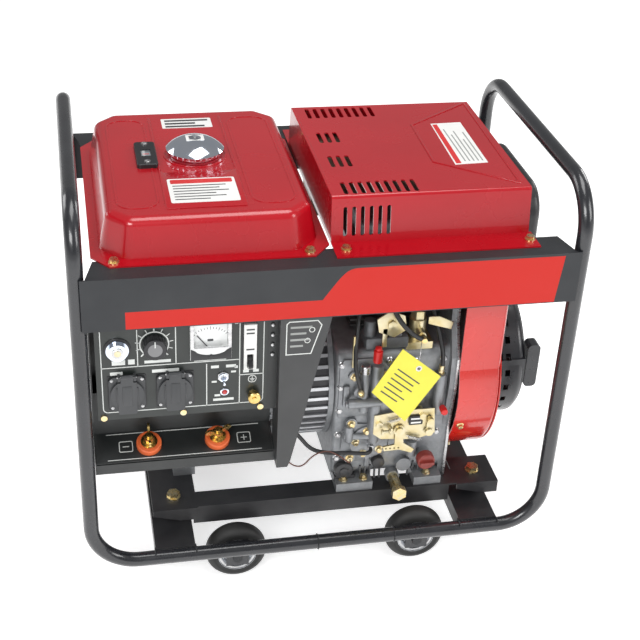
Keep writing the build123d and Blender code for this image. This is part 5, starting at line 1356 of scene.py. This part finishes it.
    def head_fittings(self) -> None:
        """Adds the rocker cover's bolts, lifting lug and the head's front bosses."""
        plate, dark, red = Maker(), Maker(), Maker()
        lug = [(84, 398), (108, 388), (126, 400), (122, 424), (100, 434), (80, 420)]
        plate.sheet(lug, (-156.0, -153.2), Axis.Y, 0.5)
        plate.rod((103, -160, 411), (103, -153, 411), 7.5, 6, 0.6)
        plate.block((90, -156, 372), (97, -153.4, 404), 0.4)
        plate.sheet([(160, 404), (196, 392), (199, 404), (176, 416), (160, 416)], (-150.5, -148.0), Axis.Y,
                    0.5)
        plate.rod((48, -155, 340), (48, -155, 394), 2.0, 16)
        dark.block((66, -153, 366), (132, -116, 386), 4)
        dark.rod((74, -140, 384), (74, -140, 412), 9, 28, 2)
        dark.rod((112, -150, 386), (112, -132, 386), 10, 28, 2)
        red.rod((84, -161, 350), (84, -161, 371), 7.0, 28, 1.6)
        red.rod((84, -161, 371), (84, -161, 376), 5.2, 28, 1.2)
        plate.finish("governor_plates", BRACKET_ZINC, slot="zinc_bolt")
        dark.finish("head_bosses", DARK_ALLOY, slot="cast_alloy")
        red.finish("primer_cap", RED_PLASTIC, slot="plastic_red")

    def springs(self) -> None:
        """Hooks the governor spring and the stop spring between their levers."""
        wire = Maker()
        for start, end, radius, turns in (((136, -171, 216), (160, -172, 208), 3.0, 11),
                                          ((104, -171, 246), (126, -171, 250), 2.4, 9)):
            a, b = Vector(start), Vector(end)
            along = b - a
            side = along.cross(Vector((0, 1, 0))).normalized()
            other = along.cross(side).normalized()
            count = turns * 8
            points = [a + along * (0.12 + 0.76 * i / count)
                      + radius * (math.cos(i * math.pi / 4) * side + math.sin(i * math.pi / 4) * other)
                      for i in range(count + 1)]
            wire.pipe([a, *points, b], 0.55)
        wire.finish("governor_springs", STEEL, slot="steel")

    def controls(self) -> None:
        """Adds the stop knob, the speed screw with its nuts, and the speed plate with its printed bars."""
        knob, screw, dark = Maker(), Maker(), Maker()
        knob.rod((190, -166, 262), (190, -181, 262), 5.4, 28, 1.4)
        knob.rod((190, -152, 262), (190, -167, 262), 2.2, 16)
        screw.rod((96, -176, 232), (112, -176, 232), 2.2, 16)
        screw.rod((94, -176, 232), (97, -176, 232), 5.0, 6, 0.3)
        screw.rod((106, -176, 232), (109, -176, 232), 4.6, 6, 0.3)
        screw.block((108, -178.5, 226), (111, -167, 238), 0.3)
        dark.sheet(rounded((138, 236), (160, 252), 2), (-170.4, -169.2), Axis.Y, 0.2)
        dark.block((140, -169.6, 238), (158, -166.8, 240))
        bars = Maker()
        for z in (239.0, 246.0):
            bars.block((141, -170.7, z), (157, -170.2, z + 2.6))
        bars.finish("plate_bars", LABEL_WHITE, slot="plastic_white")
        knob.finish("stop_knob", RED_PLASTIC, slot="plastic_red")
        screw.finish("speed_screw", BRACKET_ZINC, slot="zinc_bolt")
        dark.finish("speed_plate", BLACK_PLASTIC)

    def build(self) -> None:
        """Builds every fitting of the engine."""
        self.bolts()
        self.castings()
        self.pipes()
        self.head_fittings()
        self.springs()
        self.controls()


@dataclass
class CoolingAndStart:
    """Louvres of the alternator, edges and bolts of the fan shroud, and ribs of the recoil starter."""

    centre: Pair = CRANK_CENTRE

    def louvres(self) -> None:
        """Sets slats round the alternator's adapter, lighter than its cast alloy as painted highlight, over a
        thin black band that is painted shade in the gaps behind them.
        """
        cy, cz = self.centre
        spots = []
        for step in range(44):
            turn = 2 * math.pi * step / 44
            spots.append(((-20, cy + 119.2 * math.cos(turn), cz + 119.2 * math.sin(turn)),
                          (0, math.cos(turn), math.sin(turn))))
        place = [spot for spot in spots if spot[0][2] > 168]
        # The slats are cast aluminium; their finish is lighter than the adapter's, as painted highlight on
        # their lit faces.
        SLATS.make("adapter_louvres", place, LOUVRE_ALLOY_PAINTED_HIGHLIGHT, slot="cast_alloy", Width=74.0, Depth=5.2,
                   Height=3.6)
        band, dark = Maker(), Maker()
        for x0, x1 in ((-62, -54), (16, 25)):
            band.spun([(117.5, x0), (122.5, x0 + 0.6), (122.5, x1 - 0.6), (117.5, x1)], (0, cy, cz),
                      (1, 0, 0), 96)
        # Painted shade: a thin black band under the slats darkens the gaps between the louvres.
        dark.spun([(117.6, -56), (118.3, -56), (118.3, 18), (117.6, 18)], (0, cy, cz), (1, 0, 0), 96)
        band.finish("adapter_rings", CAST_ALLOY, slot="cast_alloy")
        dark.finish("adapter_gap_painted_shade", BLACK_INK_AND_PAINTED_SHADE, slot="plastic_black")

    def shroud(self) -> None:
        """Rolls the shroud's rim and bolts it to the back plate."""
        cy, cz = self.centre
        rim = Maker()
        rim.spun([(149.0, 275.4), (152.6, 275.4), (152.6, 277.2), (149.0, 277.2)], (0, cy, cz), (1, 0, 0), 96)
        rim.spun([(96.0, 275.6), (100.5, 275.6), (100.5, 277.4), (96.0, 277.4)], (0, cy, cz), (1, 0, 0), 96)
        rim.finish("shroud_rims", SHROUD_RED, slot="shroud_paint")
        edge = [(222, cy + 154.2 * math.cos(math.radians(a)), cz + 154.2 * math.sin(math.radians(a)))
                for a in (200, 232, 320, 345)]
        HEXES.make("shroud_bolts", [(at, (0, at[1] - cy, at[2] - cz)) for at in edge], YELLOW_ZINC,
                   slot="zinc_bolt", Flange_Radius=6.0, Flange_Height=1.2, Head_Radius=4.4, Head_Height=3.6)

    def recoil(self) -> None:
        """Ribs the recoil housing's end and bolts its rim."""
        cy, cz = self.centre
        ring, hub = Maker(), Maker()
        for radius in (100.0, 62.0, 36.0):
            ring.spun([(radius, 330.6), (radius + 3.4, 330.6), (radius + 2.8, 332.2), (radius + 0.6, 332.2)],
                      (0, cy, cz), (1, 0, 0), 72)
        ring.spun([(110.0, 276.4), (113.6, 276.4), (113.6, 281.0), (110.0, 281.0)], (0, cy, cz), (1, 0, 0),
                  96)
        hub.rod((330.4, cy, cz), (333.0, cy, cz), 15, 36, 0.8)
        ring.finish("recoil_rings", RIBBED_PLASTIC, slot="plastic_black")
        hub.finish("recoil_hub", STEEL, slot="steel")
        spokes = []
        for step in range(24):
            turn = 2 * math.pi * step / 24
            if abs(math.cos(turn) + 0.97) < 0.12:
                continue
            spokes.append(((331.4, cy + 82 * math.cos(turn), cz + 82 * math.sin(turn)),
                           (0, math.cos(turn), math.sin(turn))))
        SLATS.make("recoil_spokes", spokes, RIBBED_PLASTIC, slot="plastic_black", Width=1.8, Depth=3.4,
                   Height=35.0)
        feet = [(282.0, cy + 115 * math.cos(math.radians(a)), cz + 115 * math.sin(math.radians(a)))
                for a in (45, 135, 215, 315)]
        HEXES.make("recoil_bolts", [(at, (1, 0, 0)) for at in feet], STEEL, slot="steel", Flange_Radius=6.0,
                   Flange_Height=1.2, Head_Radius=4.6, Head_Height=3.8)
        lugs = Maker()
        for at in feet:
            lugs.rod((276.4, at[1], at[2]), (282.2, at[1], at[2]), 8.0, 28, 0.8)
        lugs.finish("recoil_lugs", RIBBED_PLASTIC, slot="plastic_black")

    def grip(self) -> None:
        """Ribs the recoil grip."""
        ribs = [((355.2, -112.0, 296 + dz), (1, 0, 0)) for dz in range(-24, 25, 6)]
        SLATS.make("recoil_grip_ribs", ribs, RIBBED_PLASTIC, "recoil_grip", "plastic_black",
                   Width=18.0, Depth=2.0, Height=1.2)

    def rope(self) -> None:
        """Runs the starter rope from the housing to the grip."""
        start, end, rings = 327.0, 338.0, 24
        line = Maker()
        side = [(2.2 + 0.12 * (step % 2), start + (end - start) * step / rings) for step in range(rings + 1)]
        line.spun([(0.01, start), *side, (0.01, end)], (0, -112, 296), (1, 0, 0), 20)
        rope = line.finish("starter_rope", ROPE, None, "cable_black")
        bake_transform(rope)

    def cleaner(self) -> None:
        """Bands the air cleaner and fits its cap nut."""
        band, nut = Maker(), Maker()
        for y in (-60.0, 48.0):
            outer = rounded((249.0, 461.0), (331.0, 593.0), 25, 6)
            inner = rounded((250.4, 462.4), (329.6, 591.6), 23.6, 6)
            band.sheet(outer, (y - 4, y + 4), Axis.Y, 0.4, hole=inner)
        nut.rod((290, -108, 527), (290, -113, 527), 9, 24, 1.0)
        nut.block((276, -117, 525), (304, -112, 529), 1.2)
        band.finish("air_cleaner_bands", SATIN_BLACK, slot="plastic_black")
        nut.finish("air_cleaner_nut", STEEL, slot="steel")

    def build(self) -> None:
        """Builds the cooling and starting details."""
        self.louvres()
        self.shroud()
        self.recoil()
        self.grip()
        self.rope()
        self.cleaner()


@dataclass
class EngineBack:
    """Covers, ribs and bolts on the back of the crankcase and round the alternator."""

    centre: Pair = CRANK_CENTRE
    back: float = 103.0

    def crankcase_back(self) -> None:
        """Covers the crankcase's back with a bolted plate, ribs and an oil strainer cap."""
        cast, dark = Maker(), Maker()
        y = self.back
        cast.sheet(rounded((44, 186), (182, 330), 18), (y - 0.5, y + 4.0), Axis.Y, 1.4)
        cast.sheet(rounded((58, 200), (168, 316), 12), (y + 3.5, y + 6.0), Axis.Y, 1.0)
        cast.rod((150, y - 0.5, 158), (150, y + 16, 158), 15, 36, 2)
        dark.rod((150, y + 15, 158), (150, y + 20, 158), 9, 6, 0.8)
        dark.rod((62, y - 0.5, 160), (62, y + 9, 160), 11, 32, 1.4)
        cast.finish("crankcase_back_cover", CAST_ALLOY, slot="cast_alloy")
        dark.finish("oil_strainer_cap", DARK_ALLOY, slot="cast_alloy")
        ring = [(52, 194), (113, 192), (174, 194), (176, 258), (174, 322), (113, 324), (52, 322), (50, 258)]
        HEXES.make("back_cover_bolts", [((x, y + 3.9, z), (0, 1, 0)) for x, z in ring], STEEL, slot="steel",
                   Flange_Radius=5.4, Flange_Height=1.0, Head_Radius=4.2, Head_Height=3.4)
        SLATS.make("back_cover_ribs", [((x, y + 6.4, 258), (0, 0, 1)) for x in range(74, 160, 13)],
                   CAST_ALLOY, slot="cast_alloy", Width=2.6, Depth=2.6, Height=92.0)

    def alternator(self) -> None:
        """Runs cooling ribs along the stator, tie bolts on its end and a plate with printed bars."""
        cy, cz = self.centre
        ribs = []
        for step in range(20):
            turn = math.radians(15 + step * 18)
            if math.sin(turn) < -0.72:
                continue
            ribs.append(((-133, cy + 112.4 * math.cos(turn), cz + 112.4 * math.sin(turn)),
                         (0, math.cos(turn), math.sin(turn))))
        SLATS.make("stator_ribs", ribs, CAST_ALLOY, slot="cast_alloy", Width=128.0, Depth=3.2, Height=5.0)
        ends = [(cy + 92 * math.cos(math.radians(a)), cz + 92 * math.sin(math.radians(a)))
                for a in (45, 135, 225, 315)]
        HEXES.make("end_bell_bolts", [((-240.1, y, z), (-1, 0, 0)) for y, z in ends], YELLOW_ZINC,
                   slot="zinc_bolt", Flange_Radius=6.4, Flange_Height=1.2, Head_Radius=4.8, Head_Height=4.2)
        plate, ink = Maker(), Maker()
        plate.block((-170, 89.4, 262), (-100, 90.6, 296), 0.3)
        for row in range(3):
            ink.block((-164, 90.5, 286 - row * 9), (-112 - row * 9, 90.8, 289 - row * 9))
        plate.finish("alternator_plate", STEEL, slot="steel")
        ink.finish("alternator_plate_bars", BLACK_INK_AND_PAINTED_SHADE, slot="plastic_black")

    def build(self) -> None:
        """Builds the back of the engine and the alternator's details."""
        self.crankcase_back()
        self.alternator()


@dataclass
class FrameDetails:
    """Weld seams of the frame, rim lips and tread rings of the wheels, the engine leads, the hanging tag's
    print and the bed bolts.
    """

    rail: Pair = (227.0, 71.5)
    tube: float = 11.0
    seams: Pair = (-8.0, 112.0)
    members: Pair = (-225.0, 248.0)
    member_edge: float = 30.6
    beam_ends: Pair = (-338.0, 338.0)
    beam_side: float = 233.0
    ring_steps: int = 26
    axle: float = 47.0

    def welds(self) -> None:
        """Rings the rails with weld ripples at the seams and where the cross members sit."""
        spots = []
        rail_y, rail_z = self.rail
        for side in (-1, 1):
            for x in self.seams:
                for step in range(self.ring_steps):
                    turn = 2 * math.pi * step / self.ring_steps
                    y = side * rail_y + self.tube * math.cos(turn)
                    spots.append(((x, y, rail_z + self.tube * math.sin(turn)), (1, 0, 0)))
            for x in self.members:
                for edge in (-self.member_edge, self.member_edge):
                    spots += [((x + edge, side * rail_y + y, 83.0 - abs(y) * 0.12), (1, 0, 0))
                              for y in range(-8, 9, 2)]
            for x in self.beam_ends:
                spots += [((x, side * self.beam_side, 490 + 5 * step), (0, 1, 0)) for step in range(14)]
        RIPPLES.make("frame_welds", spots, WELD, slot="frame_paint", Radius=1.9)

    def wheels(self) -> None:
        """Gives each wheel its tread groove edges and rim lips."""
        for name, x, y in (("front_left", -130, -196.5), ("rear_left", -130, 196.5),
                           ("front_right", 154, -196.5), ("rear_right", 154, 196.5)):
            lips, tread = Maker(), Maker()
            for side in (-1, 1):
                at = y + side * 13.2
                lips.spun([(24.6, at - 1.4), (28.2, at - 1.0), (28.6, at + 1.0), (24.6, at + 1.4)],
                          (x, 0, self.axle), (0, 1, 0), 56)
                tread.spun([(34.0, y + side * 14.6 - 0.6), (36.4, y + side * 14.6 - 0.6),
                            (36.4, y + side * 14.6 + 0.5), (34.0, y + side * 14.6 + 0.5)], (x, 0, self.axle),
                           (0, 1, 0), 64)
            lips.finish(f"rim_lips_{name}", STEEL, f"{name}_wheel", "steel")
            tread.finish(f"tyre_rings_{name}", RUBBER, f"{name}_wheel", "wheel_rubber")

    def leads(self) -> None:
        """Lays the engine lead and the thin wire between the control box and the crankcase."""
        lead, wire = Maker(), Maker()
        lead.pipe([(-78, -178, 268), (-58, -178, 268), (-34, -176, 238), (-14, -174, 208), (14, -171, 196),
                   (48, -169, 192), (84, -175, 190), (84, -154, 190)], 3.2)
        wire.pipe([(-78, -190, 240), (-68, -190, 240), (-60, -191, 216), (-46, -190, 194), (-28, -186, 186),
                   (-12, -182, 204), (12, -178, 208), (34, -175, 190), (52, -174, 172), (52, -156, 172)], 1.1)
        line = lead.finish("engine_lead", CABLE, slot="cable_black")
        wire.finish("engine_wire", BROWN_WIRE, slot="cable_black")
        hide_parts("engine_leads")
        grommet, tag = Maker(), Maker()
        grommet.rod((-77.6, -178, 268), (-71, -178, 268), 5.4, 28, 1.0, 4.4)
        grommet.rod((-77.6, -190, 240), (-73, -190, 240), 3.0, 24, 0.6, 2.4)
        grommet.finish("lead_grommets", RUBBER, slot="rubber_black")
        tag.rod((84, -160, 190), (84, -153.8, 190), 5.2, 6, 0.4)
        tag.finish("lead_gland", STEEL, slot="steel")

    def tag_print(self) -> None:
        """Prints plain bars on the hanging tag, eyelets its hole and hangs it by a wire."""
        ink, ring, wire = Maker(), Maker(), Maker()
        turn = Matrix.Translation((139, 0, 353)) @ Matrix.Rotation(math.radians(40), 4, "Y")
        for row, share in enumerate((46, 40, 44, 30, 42, 34)):
            x, z = -26 + row * 1.2, -18 - row * 8.6
            ink.sheet([(x, z), (x + share, z), (x + share, z - 2), (x, z - 2)], (-190.62, -190.38), Axis.Y,
                      frame=turn)
        ring.spun([(2.5, -0.7), (4.8, -0.7), (4.8, 0.7), (2.5, 0.7)], (139, -190, 353), (0, 1, 0), 28)
        wire.pipe([(139, -190, 353), (141, -184, 368), (146, -170, 384), (150, -160, 390)], 0.5)
        ink.finish("tag_bars", BLACK_INK_AND_PAINTED_SHADE, "tag", "plastic_black")
        ring.finish("tag_eyelet", STEEL, "tag", "steel")
        wire.finish("tag_wire", STEEL, ROOT, "steel")

    def bed_bolts(self) -> None:
        """Bolts the engine's feet to the bed rails."""
        HEXES.make("bed_bolts", [((x, y, 131.1), (0, 0, 1)) for y in (-157, 153) for x in (44, 76, 178)],
                   YELLOW_ZINC, slot="zinc_bolt", Flange_Radius=7.0, Flange_Height=1.4, Head_Radius=5.2,
                   Head_Height=4.4)

    def build(self) -> None:
        """Builds the frame's details."""
        self.welds()
        self.wheels()
        self.leads()
        self.tag_print()
        self.bed_bolts()


HEXES = HexBolts()
SCREWS = PanScrews()
SLATS = Slats()
RIPPLES = Ripples()


# ---------------------------------------------------------------- dressing of the carried-over nodes

NODE_FINISHES: dict[str, Finish] = {
    "frame_hoops": GLOSS_BLACK, "top_beams": BEAM, "cross_members": SATIN_BLACK, "engine_bed": SATIN_BLACK,
    "wheel_brackets": GLOSS_BLACK, "rubber_mounts": RUBBER, "frame_bolts": FRAME_BOLTS,
    "cover_bolts": YELLOW_ZINC, "fuel_tank": CRIMSON, "silencer_cover": CRIMSON, "fuel_cap": CHROME,
    "fuel_gauge": BLACK_PLASTIC, "silencer": EXHAUST, "air_cleaner": SATIN_BLACK, "control_panel": PANEL,
    "terminal_panel": BOX_BLACK, "control_box": BOX_BLACK, "side_plate": SIDE_GREY,
    "key_switch": CHROME, "key_barrel": STEEL, "current_knob": BLACK_PLASTIC, "voltmeter": METER_GLASS,
    "voltmeter_needle": BLACK_INK_AND_PAINTED_SHADE, "circuit_breaker": WHITE_PLASTIC, "breaker_lever": BLACK_PLASTIC,
    "sockets": DARK_PLASTIC, "socket_lid_left": DARK_PLASTIC, "socket_lid_right": DARK_PLASTIC,
    "toggle_switch": CHROME, "toggle_lever": CHROME, "terminal_insulators": ORANGE, "terminal_studs": BRASS,
    "wing_nut_minus": BRASS, "wing_nut_plus": BRASS, "earth_nut": BRASS, "alternator_stator": CAST_ALLOY,
    "alternator_rotor": WINDING, "crankcase": CAST_ALLOY, "cylinder_barrel": CAST_IRON,
    "cylinder_head": DARK_ALLOY, "crankshaft": STEEL, "flywheel": CAST_IRON, "shroud_back_plate": STEEL,
    "fan_shroud": SHROUD_RED, "recoil_starter": RIBBED_PLASTIC, "recoil_pulley": STEEL,
    "recoil_handle": RIBBED_PLASTIC, "injection_pump": BRACKET_ZINC, "speed_bracket": BRACKET_ZINC,
    "speed_lever": BRACKET_ZINC, "stop_lever": BRACKET_ZINC, "oil_filler_cap": BROWN_PLASTIC,
    "dipstick": STEEL, "drain_plug": YELLOW_ZINC, "engine_leads": CABLE, "hang_tag": YELLOW_CARD,
}
WHEELS = {"wheel_front_left": -130.0, "wheel_rear_left": -130.0, "wheel_front_right": 154.0,
          "wheel_rear_right": 154.0}


def dress_nodes(nodes: dict[str, bpy.types.Object]) -> None:
    """Gives every carried-over CAD node its finish.

    Args:
        nodes: the frame's nodes by name.
    """
    finishes = dict(NODE_FINISHES)
    for name, x in WHEELS.items():
        finishes[name] = WheelFinish(f"tyre and rim at {int(x)}", axle=(x, 47.0), **TYRE)
    for name, node in nodes.items():
        for holder in node.material_slots:
            holder.link = "DATA"
            holder.material = PAINT.of(finishes[name])
        LOG.info("%s: %s", name, finishes[name].name)


# ---------------------------------------------------------------- studio


@dataclass
class Studio:
    """Camera, pale floor and soft lights."""

    focal: float = 1278.72
    picture: float = 640.0
    sensor: float = 36.0
    yaw: float = 0.22
    pitch: float = 0.545727
    roll: float = 0.0497043
    spot: tuple[float, float, float] = (-348.70, -1690.81, 1381.72)
    room: float = 0.3
    floor_glow: float = 0.55
    panels: list[tuple[Point, float, Pair]] = field(default_factory=lambda: [
        ((-1.3, -2.3, 2.0), 46.0, (1.5, 0.9)),
        ((1.9, -1.5, 1.5), 25.0, (1.0, 1.2)),
        ((0.2, -0.2, 2.9), 34.0, (1.8, 1.2)),
        ((-2.0, 1.2, 1.5), 16.0, (1.0, 1.2)),
        ((2.5, 1.5, 1.7), 16.0, (1.0, 1.0)),
    ])

    def camera(self) -> None:
        """Sets the camera at the view that the object is judged from."""
        data = bpy.data.cameras.new("camera")
        data.sensor_width = self.sensor
        data.lens = self.focal * self.sensor / self.picture
        data.clip_start, data.clip_end = 0.05, 60.0
        ahead = Vector((math.sin(self.yaw) * math.cos(self.pitch), math.cos(self.yaw) * math.cos(self.pitch),
                        -math.sin(self.pitch)))
        right = Vector((math.cos(self.yaw), -math.sin(self.yaw), 0.0))
        up = right.cross(ahead)
        across = math.cos(self.roll) * right + math.sin(self.roll) * up
        above = -math.sin(self.roll) * right + math.cos(self.roll) * up
        turn = Matrix((across, above, -ahead)).transposed().to_4x4()
        camera = bpy.data.objects.new("camera", data)
        camera.matrix_world = Matrix.Translation(Vector(self.spot) * MM) @ turn
        bpy.context.scene.collection.objects.link(camera)
        bpy.context.scene.camera = camera

    def floor(self) -> None:
        """Lays a wide pale floor under the wheels."""
        mesh = bpy.data.meshes.new("floor")
        reach = 30.0
        mesh.from_pydata([(-reach, -reach, 0), (reach, -reach, 0), (reach, reach, 0), (-reach, reach, 0)], [],
                         [(0, 1, 2, 3)])
        floor = bpy.data.objects.new("floor", mesh)
        bpy.context.scene.collection.objects.link(floor)
        sheet = NodeSheet("pale floor")
        sheet.link(sheet.mix(sheet.noise(3.0), (0.93, 0.93, 0.93), (0.95, 0.95, 0.95)),
                   sheet.shader.inputs["Base Color"])
        sheet.shader.inputs["Roughness"].default_value = 0.8
        sheet.shader.inputs["Emission Color"].default_value = (1.0, 1.0, 1.0, 1.0)
        sheet.shader.inputs["Emission Strength"].default_value = self.floor_glow
        mesh.materials.append(sheet.material)

    def lights(self) -> None:
        """Hangs the soft panels and fills the room with white light."""
        for number, (at, power, size) in enumerate(self.panels):
            data = bpy.data.lights.new(f"panel_{number}", "AREA")
            data.shape = "RECTANGLE"
            data.size, data.size_y = size
            data.energy = power
            light = bpy.data.objects.new(f"panel_{number}", data)
            light.location = at
            light.rotation_euler = (Vector((0, 0, 0.3)) - Vector(at)).to_track_quat("-Z", "Y").to_euler()
            bpy.context.scene.collection.objects.link(light)
        world = bpy.data.worlds.new("room")
        world.use_nodes = True
        world.node_tree.nodes["Background"].inputs[0].default_value = (1.0, 1.0, 1.0, 1.0)
        seen = world.node_tree.nodes.new("ShaderNodeLightPath").outputs["Is Camera Ray"]
        strength = world.node_tree.nodes.new("ShaderNodeMapRange")
        strength.inputs["To Min"].default_value, strength.inputs["To Max"].default_value = self.room, 0.97
        world.node_tree.links.new(seen, strength.inputs["Value"])
        world.node_tree.links.new(strength.outputs[0], world.node_tree.nodes["Background"].inputs[1])
        bpy.context.scene.world = world
        bpy.context.scene.view_settings.view_transform = "Standard"

    def build(self) -> None:
        """Sets up the whole studio."""
        self.camera()
        self.floor()
        self.lights()


def main() -> None:
    """Builds the studio, dresses the nodes and builds each sub-assembly in order."""
    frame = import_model()
    Studio().build()
    dress_nodes(frame["nodes"])
    for assembly in ASSEMBLIES:
        assembly().build()


ASSEMBLIES: tuple[Callable[[], object], ...] = (
    TopCovers, PanelPrint, PanelDevices, EngineFittings, CoolingAndStart, EngineBack, FrameDetails)

if __name__ == "__main__":
    main()
